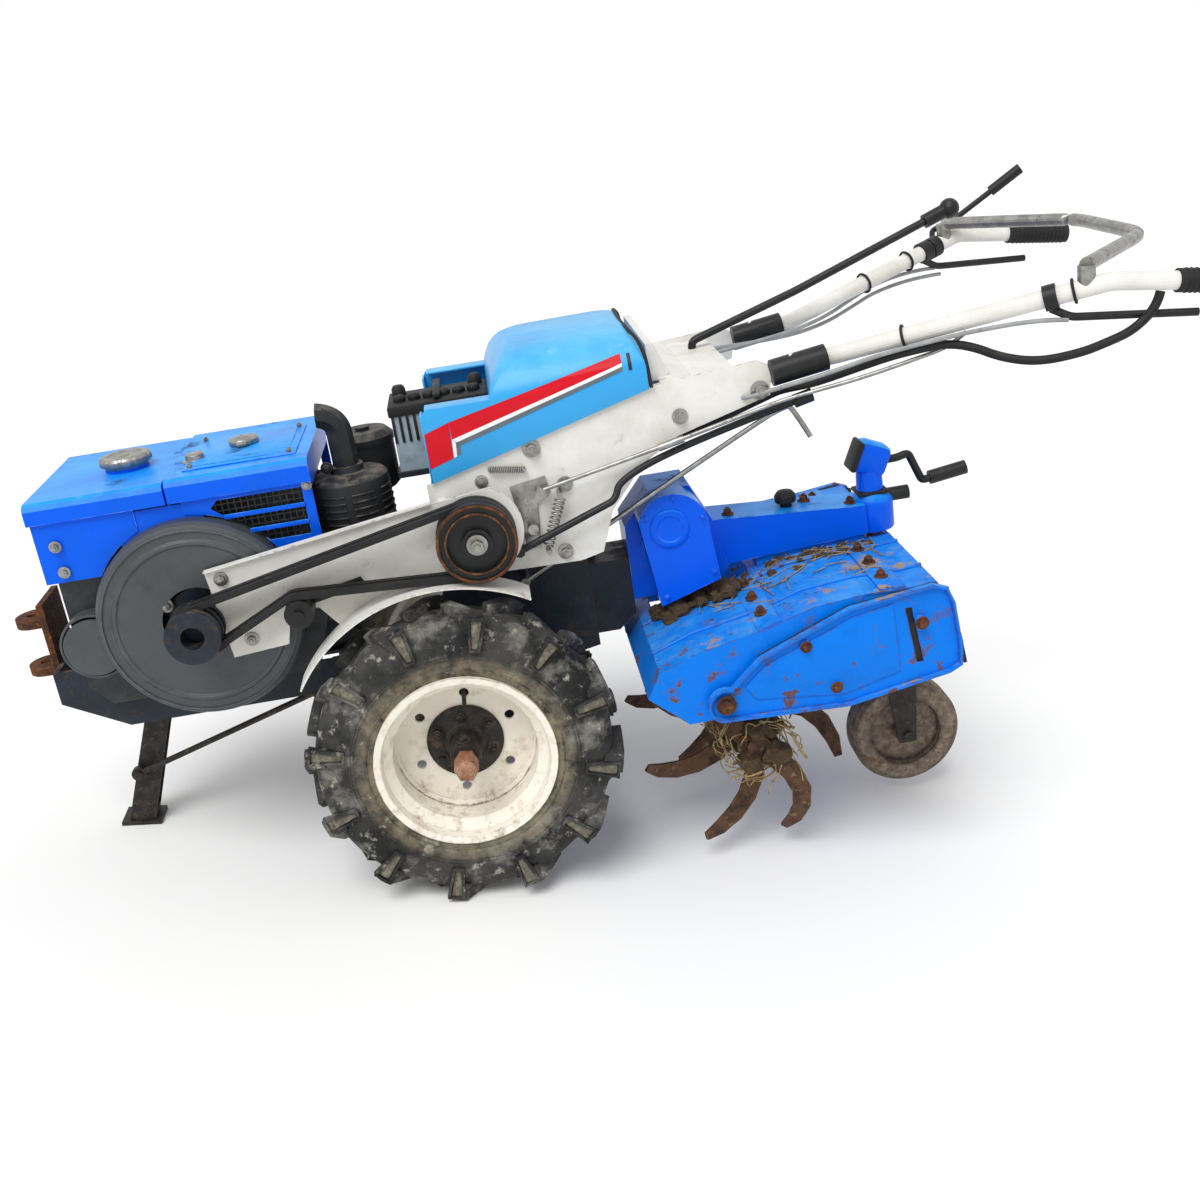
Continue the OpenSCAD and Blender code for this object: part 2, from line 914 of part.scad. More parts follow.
// Curved hood over the rotor
module tiller_hood() {
    top = [
        [-345, 52], [-372, 100], [-450, 128], [-580, 152], [-665, 178], [-760, 186], [-850, 184],
        [-892, 188], [-916, 150], [-936, 60]
    ];
    n = len(top);
    under = [for (i = [n - 1:-1:0])
        let (
            a = top[max(i - 1, 0)],
            b = top[min(i + 1, n - 1)],
            u = unit(b - a)
        )
        top[i] + hood_t * [-u[1], u[0]]];
    wall = [[-345, 52], [-372, 100], [-450, 128], [-580, 152], [-665, 178], [-756, 184], [-736, 60], [-700, -10], [-415, -12]];
    color("#1e78e4")
        parked()
            difference() {
                union() {
                    slab(-hood_half, hood_half)
                        polygon(concat(top, under));
                    for (s = [0, 1])
                        mirror([0, s, 0])
                            slab(hood_half - hood_t, hood_half)
                                polygon(wall);
                    slab(-40, 40)
                        polygon([[-620, 164], [-620, beam_low(-620)], [-838, beam_low(-838)], [-838, 184]]);
                }
                translate([-600, -40, 80])
                    cube([200, 80, 100]);
                translate([post_x - 27, -27, 140])
                    cube([52, 54, 80]);
            }
}

// Outline of a side panel, counter-clockwise
panel_pivot = [-484, 22];
panel_line = concat(
    arc(panel_pivot, 34, -70, 110, 10),
    [[-553, 104], [-725, 172], [-880, 190], [-906, 180], [-918, 150], [-928, 60], [-926, 24], [-902, 12], [-710, -20]]
);

// One side panel with a rolled rim, its spacers and bolts
module side_panel() {
    y0 = hood_half + 8;
    difference() {
        union() {
            slab(y0, y0 + 3)
                polygon(panel_line);
            slab(y0, y0 + 14)
                difference() {
                    polygon(panel_line);
                    polygon(inset(panel_line, 5));
                }
            for (p = [panel_pivot, [-640, 110], [-690, 20]])
                ybar(p[0], p[1], hood_half, y0 + 8, 12);
            ybar(-853, 123, y0, y0 + 18, 10);
        }
        slab(y0 - 1, y0 + 5)
            polygon([[-828, 150], [-840, 150], [-856, 40], [-844, 40]]);
    }
}

// Left side panel of the tiller
module side_panel_left() {
    color("#1e78e4")
        parked()
            side_panel();
}

// Right side panel of the tiller
module side_panel_right() {
    color("#1e78e4")
        parked()
            mirror([0, 1, 0])
                side_panel();
}

// Column that holds the depth wheel post
module depth_column() {
    color("#1e78e4")
        parked()
            difference() {
                slab(-32, 32)
                    polygon([[-845, 202], [-845, 366], [-858, 374], [-884, 370], [-900, 345], [-900, 240], [-896, 202]]);
                translate([post_x, 0, 190])
                    cylinder(h = 164, r = post_d / 2 + run_gap);
            }
}

// Crank handle of the depth screw and the black stub
module depth_crank() {
    color("#1b1c1d")
        parked()
            union() {
                bent_bar([[-900, 0, 330], [-925, 0, 330], [-950, 0, 336], [-975, 0, 275], [-1000, 0, 279]], 8, 8);
                bar([-990, 0, 278], [-1065, 0, 288], 14);
                bar([-900, 0, 257], [-945, 0, 257], 14);
            }
}

// Sliding post with the fork of the depth wheel
module tail_post() {
    color("#4a3b33")
        parked()
            difference() {
                union() {
                    translate([post_x, 0, tail_z + tail_d / 2 + 16])
                        cylinder(h = 275 - tail_z - tail_d / 2 - 16, r = post_d / 2);
                    translate([tail_x - 26, -fork_in - fork_t, tail_z + tail_d / 2 + 10])
                        cube([64, 2 * (fork_in + fork_t), 8]);
                    for (s = [0, 1])
                        mirror([0, s, 0])
                            slab(fork_in, fork_in + fork_t)
                                polygon([
                                    [tail_x + 38, tail_z + tail_d / 2 + 12], [tail_x - 26, tail_z + tail_d / 2 + 12],
                                    [tail_x - 18, tail_z - 18], [tail_x + 18, tail_z - 18]
                                ]);
                    ybar(tail_x, tail_z, -fork_in - fork_t - 6, fork_in + fork_t + 6, 8);
                }
            }
}

// Depth wheel
module tail_wheel() {
    r = tail_d / 2;
    w = tail_w / 2;
    color("#3c332d")
        parked()
            translate([tail_x, 0, tail_z])
                rotate([-90, 0, 0])
                    rotate_extrude($fn = 72)
                        polygon([
                            [8 + run_gap, -w - 3], [22, -w - 3], [22, -10], [r - 40, -10], [r - 40, -w], [r - 8, -w], [r, -w + 8],
                            [r, w - 8], [r - 8, w], [r - 40, w], [r - 40, 10], [22, 10], [22, w + 3], [8 + run_gap, w + 3]
                        ]);
}

// Rotor shaft with tine holders
tine_stations = [-250, -195, -135, -75, 75, 135, 195, 250];
module rotor() {
    color("#274f86")
        parked()
            union() {
                ybar(rotor_x, rotor_z, -rotor_half, rotor_half, rotor_r);
                for (y = tine_stations)
                    ybar(rotor_x, rotor_z, y - 10, y - 0, 40);
            }
}

// One tine, drawn in its own plane
module tine() {
    mid = [for (q = [[30, 0], [90, 4], [140, 14], [185, 28], [tine_r - 4, 44]]) q[0] * [cos(q[1]), sin(q[1])]];
    half = [20, 20, 18, 15, 6];
    nrm = [for (i = [0:4]) unit(mid[min(i + 1, 4)] - mid[max(i - 1, 0)])];
    left = [for (i = [0:4]) mid[i] + half[i] * [-nrm[i][1], nrm[i][0]]];
    right = [for (i = [4:-1:0]) mid[i] - half[i] * [-nrm[i][1], nrm[i][0]]];
    intersection() {
        polygon(concat(left, right));
        circle(r = tine_r);
    }
}

// Tines bolted to the holders
module tines() {
    color("#6e452f")
        parked()
            for (i = [0:len(tine_stations) - 1])
                for (k = [0, 1])
                    translate([rotor_x, 0, rotor_z])
                        rotate([0, 45 * i + 180 * k, 0])
                            slab(tine_stations[i], tine_stations[i] + 8)
                                difference() {
                                    tine();
                                    circle(r = rotor_r + 1);
                                }
}

// Stand leg with foot and pivot pin
module stand_leg() {
    h = stand_depth / 2;
    y0 = stand_y - stand_w / 2;
    y1 = stand_y + stand_w / 2;
    low = floor_z(foot_x) + 3;
    tip = h * tan(nose_pitch);
    leg = [[pivot_x - 24, pivot_z], [foot_x - h, low - tip], [foot_x + h, low + tip], [pivot_x + 24, pivot_z]];
    color("#2c2a2a")
        union() {
            parked()
                difference() {
                    union() {
                        slab(y0, y1)
                            polygon(leg);
                        ybar(pivot_x, pivot_z, y0, y1, 24);
                        ybar(rod_pin[0], rod_pin[1], y1 - 6, rod_y + 10, 8);
                    }
                    translate([-20, 0, 0])
                        slab(y0 + 5, y1 - 5)
                            polygon([
                                [pivot_x - 24, pivot_z - 30], [foot_x - h, low + 20], [foot_x + h - 4, low + 20],
                                [pivot_x + 26, pivot_z - 30]
                            ]);
                }
            parked()
                ybar(pivot_x, pivot_z, y0 - 10, y1 + 10, 9);
            translate([x_shift + foot_x * cos(nose_pitch) + floor_z(foot_x) * sin(nose_pitch) - 40, stand_y - 34, 0])
                cube([80, 68, 8]);
        }
}

// Pull rod of the stand
module stand_rod() {
    p = [rod_pin[0], rod_y, rod_pin[1]];
    d = unit(rod_end - p);
    color("#4c4a47")
        parked()
            difference() {
                union() {
                    ybar(p[0], p[2], rod_y - 6, rod_y + 6, 15);
                    bar(p + 10 * d, rod_end, 6);
                    translate(rod_end)
                        knob(10);
                }
                ybar(p[0], p[2], rod_y - 10, rod_y + 20, 8 + run_gap);
            }
}

// Wheel rim with its disc
module rim() {
    r = rim_d / 2;
    rotate([-90, 0, 0])
        difference() {
            rotate_extrude($fn = 72)
                polygon([
                    [r, 58], [r, 50], [r - 9, 50], [r - 12, 34], [r - 30, 20], [r - 30, -20], [r - 12, -34],
                    [r - 9, -50], [r, -50], [r, -58], [r - 13, -56], [r - 16, -38], [r - 34, -24], [r - 34, -44],
                    [30, -44], [30, -39], [r - 40, -39], [r - 34, -30], [r - 34, 22], [r - 16, 37], [r - 13, 56]
                ]);
            for (a = [0:60:300])
                rotate([0, 0, a + 30])
                    translate([96, 0, -60])
                        cylinder(h = 40, r = 9);
        }
}

// Tyre out to the lug tips
module tyre() {
    r = rim_d / 2;
    w = tyre_w / 2;
    rotate([-90, 0, 0])
        rotate_extrude($fn = 72)
            polygon([
                [r - 12 + seat_gap, -34], [r - 9 + seat_gap, -50], [r + 3, -50], [r + 40, -w + 4], [tyre_r - 30, -w], [tyre_r - 6, -w + 4], [tyre_r, -w + 14],
                [tyre_r, w - 14], [tyre_r - 6, w - 4], [tyre_r - 30, w], [r + 40, w - 4], [r + 3, 50], [r - 9 + seat_gap, 50], [r - 12 + seat_gap, 34],
                [r - 20, 26], [r - 20, -26]
            ]);
}

// Axle with hub flange and sleeve, in the left wheel's frame
module axle() {
    rj = axle_af / 2 + 1;
    union() {
        ybar(0, 0, 40 - wheel_y, 215 - wheel_y, rj);
        translate([0, 214 - wheel_y, 0])
            rotate([-90, 0, 0])
                cylinder(h = axle_reach - 214, r = axle_af / 2 / cos(30), $fn = 6);
        ybar(0, 0, -58, -44, hub_flange_d / 2);
        ybar(0, 0, -50, 44, hub_sleeve_d / 2);
    }
}

// Places a wheel piece on the left or right
module on_wheel(s) {
    translate([x_shift, 0, tyre_r])
        mirror([0, s, 0])
            translate([0, wheel_y, 0])
                children();
}

// Left rim
module wheel_left_rim() {
    color("#d8cfc0")
        on_wheel(0)
            rim();
}

// Left tyre
module wheel_left_tyre() {
    color("#3a3733")
        on_wheel(0)
            tyre();
}

// Left axle
module wheel_left_axle() {
    color("#2e2f30")
        on_wheel(0)
            axle();
}

// Right rim
module wheel_right_rim() {
    color("#d8cfc0")
        on_wheel(1)
            rim();
}

// Right tyre
module wheel_right_tyre() {
    color("#3a3733")
        on_wheel(1)
            tyre();
}

// Right axle
module wheel_right_axle() {
    color("#2e2f30")
        on_wheel(1)
            axle();
}

engine_frame();
front_hitch();
engine_block();
flywheel_cover();
engine_pulley();
fuel_tank();
radiator_cover();
filler_caps();
engine_shroud();
side_grille();
muffler();
air_cleaner();
battery();
bonnet();
bonnet_rear();
side_plate_left();
side_plate_right();
gearbox();
belt_plate();
drive_belts();
idler_pulley();
input_pulley();
fender();
handle_tubes();
handle_collars();
grips();
loop_bar();
hand_levers();
main_lever();
shift_lever();
clutch_linkage();
control_rods();
rear_hitch();
tiller_case();
tiller_beam();
tiller_hood();
side_panel_left();
side_panel_right();
depth_column();
depth_crank();
tail_post();
tail_wheel();
rotor();
tines();
stand_leg();
stand_rod();
wheel_left_rim();
wheel_left_tyre();
wheel_left_axle();
wheel_right_rim();
wheel_right_tyre();
wheel_right_axle();
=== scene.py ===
import json
import math
import random
import bpy
from mathutils import Matrix, Vector


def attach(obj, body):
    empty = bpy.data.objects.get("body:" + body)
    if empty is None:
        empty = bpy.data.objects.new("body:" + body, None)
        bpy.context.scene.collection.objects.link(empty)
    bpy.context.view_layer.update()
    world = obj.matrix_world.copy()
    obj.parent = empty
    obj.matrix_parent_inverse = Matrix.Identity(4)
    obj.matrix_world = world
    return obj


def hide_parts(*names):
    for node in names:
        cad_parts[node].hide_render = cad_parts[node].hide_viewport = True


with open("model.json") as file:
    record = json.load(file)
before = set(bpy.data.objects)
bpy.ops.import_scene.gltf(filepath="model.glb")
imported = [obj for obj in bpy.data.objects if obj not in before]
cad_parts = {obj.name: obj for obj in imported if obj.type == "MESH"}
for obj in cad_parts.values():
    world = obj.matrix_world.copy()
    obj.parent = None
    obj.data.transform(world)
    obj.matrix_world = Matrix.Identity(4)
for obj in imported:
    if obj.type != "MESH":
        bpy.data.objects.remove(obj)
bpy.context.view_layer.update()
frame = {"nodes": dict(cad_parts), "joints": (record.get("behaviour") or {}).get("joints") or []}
nodes = frame["nodes"]
print("frame loaded,", len(nodes), "CAD nodes")

# The machine's own level frame: x forward, y left, z up from the axle. It is parked nose low.
joints = {j["name"]: j for j in frame["joints"]}
axlePoint = Vector(joints["wheel_left_spin"]["pos_m"])
upAxis = Vector(joints["depth_post_slide"]["axis"])
nosePitch = math.atan2(upAxis.x, upAxis.z)
levelToRow = Matrix.Translation(axlePoint) @ Matrix.Rotation(nosePitch, 4, "Y")
mm = 0.001
out, inward, up = Vector((0, 1, 0)), Vector((0, -1, 0)), Vector((0, 0, 1))


def linear(hexCode):
    parts = [int(hexCode[i:i + 2], 16) / 255 for i in (1, 3, 5)]
    return [c / 12.92 if c <= 0.04045 else ((c + 0.055) / 1.055) ** 2.4 for c in parts] + [1.0]


def addNode(tree, kind, inputs=None, **settings):
    node = tree.nodes.new(kind)
    for key, value in settings.items():
        setattr(node, key, value)
    for key, value in (inputs or {}).items():
        if isinstance(value, bpy.types.NodeSocket):
            tree.links.new(value, node.inputs[key])
        else:
            node.inputs[key].default_value = value
    return node


# A painted or bare surface with layers over it: wear and dirt, and in some finishes painted highlight where a
# layer makes top faces or edges paler. A layer is its colour, where it lies, the size of its patches in mm,
# the noise levels where it starts and is full, how much it covers and its roughness.
def surfaceWithWearAndPaintedLight(name, look):
    material = bpy.data.materials.new(name)
    material.use_nodes = True
    tree = material.node_tree
    shader = tree.nodes["Principled BSDF"]
    where = addNode(tree, "ShaderNodeTexCoord").outputs["Object"]
    normal = addNode(tree, "ShaderNodeNewGeometry").outputs["Normal"]
    lies = {"all": None}
    used = {layer[1] for layer in look["layers"]}
    if "up" in used:  # faces that look up
        rise = addNode(tree, "ShaderNodeSeparateXYZ", {"Vector": normal})
        lies["up"] = addNode(tree, "ShaderNodeMapRange",
                             {"Value": rise.outputs["Z"], "From Min": 0.3, "From Max": 0.9}).outputs[0]
    if "low" in used:  # near the ground
        height = addNode(tree, "ShaderNodeSeparateXYZ", {"Vector": where})
        lies["low"] = addNode(tree, "ShaderNodeMapRange", {
            "Value": height.outputs["Z"], "From Min": look.get("lowTop", 0.75),
            "From Max": look.get("lowFull", 0.3)}).outputs[0]
    if "edge" in used:  # sharp outer and inner edges
        soft = addNode(tree, "ShaderNodeBevel", {"Radius": look.get("edgeMm", 3.0) * mm}, samples=4)
        facing = addNode(tree, "ShaderNodeVectorMath", {0: soft.outputs[0], 1: normal},
                         operation="DOT_PRODUCT")
        lies["edge"] = addNode(tree, "ShaderNodeMapRange", {
            "Value": facing.outputs["Value"], "From Min": 0.995, "From Max": 0.9}).outputs[0]
    if "hub" in used:  # a round zone about the axle line
        flat = addNode(tree, "ShaderNodeMapping", {
            "Vector": where, "Location": (-axlePoint.x, 0, -axlePoint.z), "Scale": (1, 0, 1)})
        reach = addNode(tree, "ShaderNodeVectorMath", {0: flat.outputs[0]}, operation="LENGTH")
        lies["hub"] = addNode(tree, "ShaderNodeMapRange", {
            "Value": reach.outputs["Value"], "From Min": look["hubMm"][1] * mm,
            "From Max": look["hubMm"][0] * mm}).outputs[0]
    colour, rough = linear(look["base"]), look["rough"]
    for turn, (tint, place, size, start, full, most, layerRough) in enumerate(look["layers"], 1):
        moved = addNode(tree, "ShaderNodeMapping",
                        {"Vector": where, "Location": (2.3 * turn, 1.7 * turn, 3.1 * turn)})
        patches = addNode(tree, "ShaderNodeTexNoise",
                          {"Vector": moved.outputs[0], "Scale": 1 / (size * mm), "Detail": 9.0,
                           "Roughness": 0.68})
        mask = addNode(tree, "ShaderNodeMapRange", {
            "Value": patches.outputs["Fac"], "From Min": start, "From Max": full, "To Max": most}).outputs[0]
        if lies[place]:
            mask = addNode(tree, "ShaderNodeMath", {0: mask, 1: lies[place]}, operation="MULTIPLY").outputs[0]
        colour = addNode(tree, "ShaderNodeMix", {0: mask, 6: colour, 7: linear(tint)},
                         data_type="RGBA").outputs[2]
        rough = addNode(tree, "ShaderNodeMix", {0: mask, 2: rough, 3: layerRough}).outputs[0]
    grain = addNode(tree, "ShaderNodeTexNoise",
                    {"Vector": where, "Scale": 1 / (look["grainMm"] * mm), "Detail": 8.0, "Roughness": 0.7})
    relief = addNode(tree, "ShaderNodeBump", {
        "Height": grain.outputs["Fac"], "Strength": look["bump"], "Distance": look.get("bumpMm", 0.6) * mm})
    tree.links.new(colour, shader.inputs["Base Color"])
    tree.links.new(rough, shader.inputs["Roughness"])
    tree.links.new(relief.outputs[0], shader.inputs["Normal"])
    shader.inputs["Metallic"].default_value = look.get("metal", 0.0)
    shader.inputs["Specular IOR Level"].default_value = look.get("shine", 0.35)
    shader.inputs["Coat Weight"].default_value = look.get("coat", 0.0)
    shader.inputs["Coat Roughness"].default_value = 0.15
    return material


finishes = {
    # royal blue enamel sprayed on pressed steel: glossy, brown stains on top; the paler blue on the top faces
    # and the pale edges are painted highlight
    "blueEnamel": dict(
        base="#005EEC", rough=0.3, coat=0.05, shine=0.12, grainMm=30, bump=0.05, edgeMm=2.5, layers=[
        ("#129CFC", "up", 200, 0.1, 0.5, 0.8, 0.35), ("#2AA8FC", "up", 170, 0.38, 0.62, 0.75, 0.34),
        ("#0058C2", "all", 90, 0.5, 0.75, 0.5, 0.38),
        ("#9DA6AA", "up", 26, 0.56, 0.72, 0.3, 0.75), ("#3B3026", "up", 110, 0.57, 0.67, 0.75, 0.85),
        ("#D5DEE4", "edge", 40, 0.5, 0.62, 0.35, 0.5), ("#2C2A2A", "edge", 14, 0.52, 0.62, 0.8, 0.8)]),
    # the same enamel on the tiller, scoured by soil: dust lies on it and rust breaks through; the paler blue
    # on the top faces is painted highlight
    "soiledEnamel": dict(
        base="#0078E4", rough=0.36, coat=0.04, shine=0.12, grainMm=22, bump=0.12, edgeMm=5,
        lowTop=0.62, lowFull=0.42, layers=[
        ("#3AA0F4", "up", 120, 0.38, 0.6, 0.8, 0.42), ("#0064C4", "all", 60, 0.5, 0.72, 0.5, 0.45),
        ("#8FA0AC", "up", 34, 0.52, 0.7, 0.45, 0.8), ("#A88E66", "up", 80, 0.57, 0.62, 0.9, 0.95),
        ("#4B3926", "up", 34, 0.62, 0.66, 0.9, 0.95), ("#6A4A30", "low", 40, 0.57, 0.61, 0.95, 0.9),
        ("#54301D", "edge", 24, 0.42, 0.58, 0.95, 0.9)]),
    # sky blue enamel of the bonnet: clean, a little chalky on top; the paler blue on the top faces is painted
    # highlight
    "skyEnamel": dict(base="#34A2E2", rough=0.34, coat=0.1, shine=0.25, grainMm=40, bump=0.04, layers=[
        ("#66C2F0", "up", 150, 0.35, 0.6, 0.8, 0.42), ("#3C9AD6", "all", 110, 0.5, 0.72, 0.45, 0.4),
        ("#C4D8DE", "up", 22, 0.58, 0.72, 0.3, 0.7), ("#4F5C63", "edge", 16, 0.56, 0.66, 0.5, 0.7)]),
    # off-white enamel on thick plate: yellowed, with brown runs and chipped edges; the whiter top faces are
    # painted highlight
    "ivoryEnamel": dict(base="#E6E5E0", rough=0.46, grainMm=18, bump=0.07, layers=[
        ("#C9C3B4", "all", 140, 0.42, 0.66, 0.65, 0.5), ("#E9E7E2", "up", 60, 0.4, 0.6, 0.6, 0.5),
        ("#8A7A62", "all", 42, 0.62, 0.74, 0.6, 0.8), ("#4C4138", "all", 9, 0.68, 0.74, 0.7, 0.85),
        ("#5A3B26", "edge", 18, 0.5, 0.62, 0.9, 0.85)]),
    # dark blue-black chassis paint on cast iron: oily, soil packed into it
    "chassisPaint": dict(base="#141C26", rough=0.48, grainMm=10, bump=0.4, bumpMm=1.2, layers=[
        ("#223040", "all", 60, 0.42, 0.64, 0.7, 0.5), ("#6B5B48", "up", 30, 0.46, 0.62, 0.75, 0.95),
        ("#4B3A2B", "all", 24, 0.56, 0.68, 0.8, 0.9), ("#5B3822", "edge", 16, 0.45, 0.6, 0.85, 0.9)]),
    # cast iron gone to deep scaly rust
    "scaledRust": dict(base="#3A2417", rough=0.9, grainMm=5, bump=0.9, bumpMm=2.0, layers=[
        ("#6B3E22", "all", 26, 0.42, 0.58, 0.85, 0.95), ("#9A5C33", "all", 12, 0.55, 0.68, 0.7, 0.95),
        ("#1D1815", "all", 40, 0.52, 0.64, 0.8, 0.7), ("#A97A55", "edge", 12, 0.45, 0.6, 0.6, 0.95)]),
    # tine steel: scoured bright brown with dry soil in patches
    "scouredTine": dict(base="#5C4230", rough=0.7, metal=0.25, grainMm=6, bump=0.5, bumpMm=1.0, layers=[
        ("#2B211B", "all", 30, 0.45, 0.62, 0.85, 0.8), ("#A08868", "all", 20, 0.58, 0.7, 0.8, 0.95),
        ("#B07C56", "edge", 14, 0.4, 0.6, 0.7, 0.6)]),
    # engine casting under grey paint and an oil film
    "engineCasting": dict(base="#2B2E30", rough=0.5, grainMm=7, bump=0.45, bumpMm=1.0, layers=[
        ("#43474A", "all", 50, 0.45, 0.65, 0.7, 0.55), ("#1A1613", "all", 26, 0.55, 0.68, 0.8, 0.35),
        ("#5A4C3C", "up", 20, 0.5, 0.66, 0.6, 0.9)]),
    # satin grey paint on the spun flywheel cover: smooth, scuffed, with a painted highlight on the rolled
    # edge
    "coverPaint": dict(base="#44484B", rough=0.4, grainMm=30, bump=0.05, edgeMm=2.5, layers=[
        ("#4E5356", "all", 120, 0.42, 0.64, 0.7, 0.46), ("#393C3E", "all", 40, 0.56, 0.7, 0.5, 0.4),
        ("#77797A", "all", 7, 0.7, 0.76, 0.6, 0.5), ("#868889", "edge", 26, 0.42, 0.6, 0.6, 0.4)]),
    # plated or turned steel gone dull, brown in the pits
    "dulledSteel": dict(base="#8B8A86", rough=0.36, metal=0.85, grainMm=8, bump=0.18, layers=[
        ("#B2B1AC", "all", 20, 0.45, 0.62, 0.6, 0.32), ("#5E5044", "all", 14, 0.58, 0.7, 0.75, 0.75),
        ("#3A302A", "all", 30, 0.6, 0.7, 0.7, 0.8)]),
    # black stove enamel: satin, grey at the corners
    "blackEnamel": dict(base="#0F1011", rough=0.42, grainMm=12, bump=0.12, layers=[
        ("#232425", "all", 60, 0.45, 0.66, 0.6, 0.5), ("#6F675C", "up", 24, 0.56, 0.72, 0.5, 0.9),
        ("#5B5753", "edge", 18, 0.5, 0.64, 0.6, 0.6)]),
    # heat-greyed black sheet of muffler and air cleaner
    "heatBlack": dict(base="#17181A", rough=0.5, grainMm=9, bump=0.2, layers=[
        ("#2E3032", "all", 50, 0.42, 0.62, 0.7, 0.6), ("#83796B", "up", 26, 0.46, 0.64, 0.7, 0.92),
        ("#5A3B2A", "all", 16, 0.66, 0.74, 0.7, 0.9)]),
    # moulded black rubber, matt with a grey bloom
    "mouldedRubber": dict(base="#121212", rough=0.62, grainMm=6, bump=0.2, layers=[
        ("#2A2A2A", "all", 40, 0.45, 0.65, 0.6, 0.72), ("#7C766C", "up", 20, 0.58, 0.72, 0.45, 0.92),
        ("#8E8C88", "all", 8, 0.7, 0.76, 0.6, 0.9)]),
    # tyre rubber under dried mud: black where it was rubbed, tan near the rim
    "mudTyre": dict(
        base="#161616", rough=0.72, shine=0.3, grainMm=9, bump=0.6, bumpMm=1.6, hubMm=(176, 214), edgeMm=6,
        layers=[
        ("#454443", "all", 90, 0.4, 0.6, 0.85, 0.85), ("#8A8780", "all", 80, 0.5, 0.62, 0.7, 0.95),
        ("#C2BCAE", "all", 26, 0.58, 0.68, 0.75, 0.95), ("#8E836C", "hub", 30, 0.34, 0.58, 0.85, 0.95),
        ("#0F1011", "edge", 40, 0.42, 0.58, 0.75, 0.55)]),
    # soil dried in the hollow of each tyre block
    "paleSoil": dict(base="#6C675A", rough=0.95, grainMm=4, bump=0.6, layers=[
        ("#96907F", "all", 14, 0.48, 0.62, 0.8, 0.95), ("#33302B", "all", 9, 0.52, 0.68, 0.7, 0.95)]),
    # pressed wheel disc under a crust of soil
    "soilDisc": dict(base="#75675A", rough=0.92, edgeMm=14, grainMm=4, bump=0.9, bumpMm=1.8, layers=[
        ("#9A8C78", "all", 16, 0.45, 0.6, 0.8, 0.95), ("#3A302A", "all", 10, 0.55, 0.66, 0.85, 0.9),
        ("#5E3A26", "all", 40, 0.54, 0.66, 0.7, 0.9), ("#1C1A19", "edge", 30, 0.3, 0.5, 0.9, 0.7)]),
    # cream enamel of the rims, mud stains in the well
    "creamEnamel": dict(base="#EDE6D8", rough=0.46, grainMm=14, bump=0.15, layers=[
        ("#F0EBE0", "all", 60, 0.42, 0.62, 0.7, 0.45), ("#BFAE92", "all", 48, 0.53, 0.68, 0.7, 0.75),
        ("#8A7556", "low", 26, 0.52, 0.66, 0.7, 0.9), ("#5A3F2B", "all", 6, 0.68, 0.74, 0.8, 0.9),
        ("#6A4228", "edge", 20, 0.45, 0.6, 0.85, 0.85)], lowTop=0.3, lowFull=0.15),
    # oily black hub and stand iron with soil stuck on
    "oilyIron": dict(base="#201E1D", rough=0.5, metal=0.2, grainMm=6, bump=0.5, bumpMm=1.2, layers=[
        ("#3A3531", "all", 24, 0.42, 0.6, 0.8, 0.6), ("#6B5844", "all", 16, 0.56, 0.68, 0.8, 0.92),
        ("#8A5F44", "edge", 14, 0.5, 0.64, 0.6, 0.85)]),
    # bare axle end, brown as new rust
    "brownSteel": dict(base="#8E6248", rough=0.62, metal=0.2, grainMm=5, bump=0.5, layers=[
        ("#C09A80", "all", 18, 0.45, 0.62, 0.7, 0.7), ("#4A2E20", "all", 12, 0.55, 0.68, 0.85, 0.9)]),
    # grey moulded battery case
    "caseMoulding": dict(base="#8EA0AB", rough=0.38, grainMm=24, bump=0.04, layers=[
        ("#A9B7BF", "all", 60, 0.42, 0.62, 0.6, 0.42), ("#6B6E6C", "low", 30, 0.5, 0.7, 0.5, 0.7)],
        lowTop=0.95, lowFull=0.8),
    # grey plastic sheath of the cables
    "cableSheath": dict(base="#8C8E8E", rough=0.45, grainMm=10, bump=0.08, layers=[
        ("#A8AAA9", "all", 30, 0.42, 0.62, 0.6, 0.5), ("#5E5850", "all", 14, 0.6, 0.7, 0.6, 0.8)]),
    # red, white and grey paint bands on the bonnet
    "redBand": dict(base="#CC0A1E", rough=0.36, shine=0.2, grainMm=40, bump=0.03, layers=[
        ("#DA1428", "all", 90, 0.42, 0.62, 0.5, 0.42), ("#8E1A26", "edge", 12, 0.56, 0.66, 0.5, 0.7)]),
    "whiteBand": dict(base="#F1F2F2", rough=0.38, grainMm=40, bump=0.03,
                      layers=[("#D9DCDC", "all", 50, 0.45, 0.65, 0.5, 0.45)]),
    "greyBand": dict(base="#5C656C", rough=0.38, grainMm=40, bump=0.03,
                     layers=[("#6E777D", "all", 50, 0.45, 0.65, 0.5, 0.45)]),
    # dry straw and crumbled soil
    "dryStraw": dict(base="#A58F63", rough=0.95, grainMm=4, bump=0.4, layers=[
        ("#5C4A30", "all", 16, 0.45, 0.62, 0.85, 0.95), ("#CDBB8E", "all", 9, 0.55, 0.7, 0.7, 0.95)]),
    "dryMud": dict(base="#4A3B2B", rough=0.97, grainMm=4, bump=1.0, bumpMm=2.5, layers=[
        ("#75613F", "all", 14, 0.5, 0.66, 0.7, 0.97), ("#2B2119", "all", 8, 0.55, 0.68, 0.8, 0.97)]),
}
paint = {name: surfaceWithWearAndPaintedLight(name, look) for name, look in finishes.items()}
print("materials made:", len(paint))

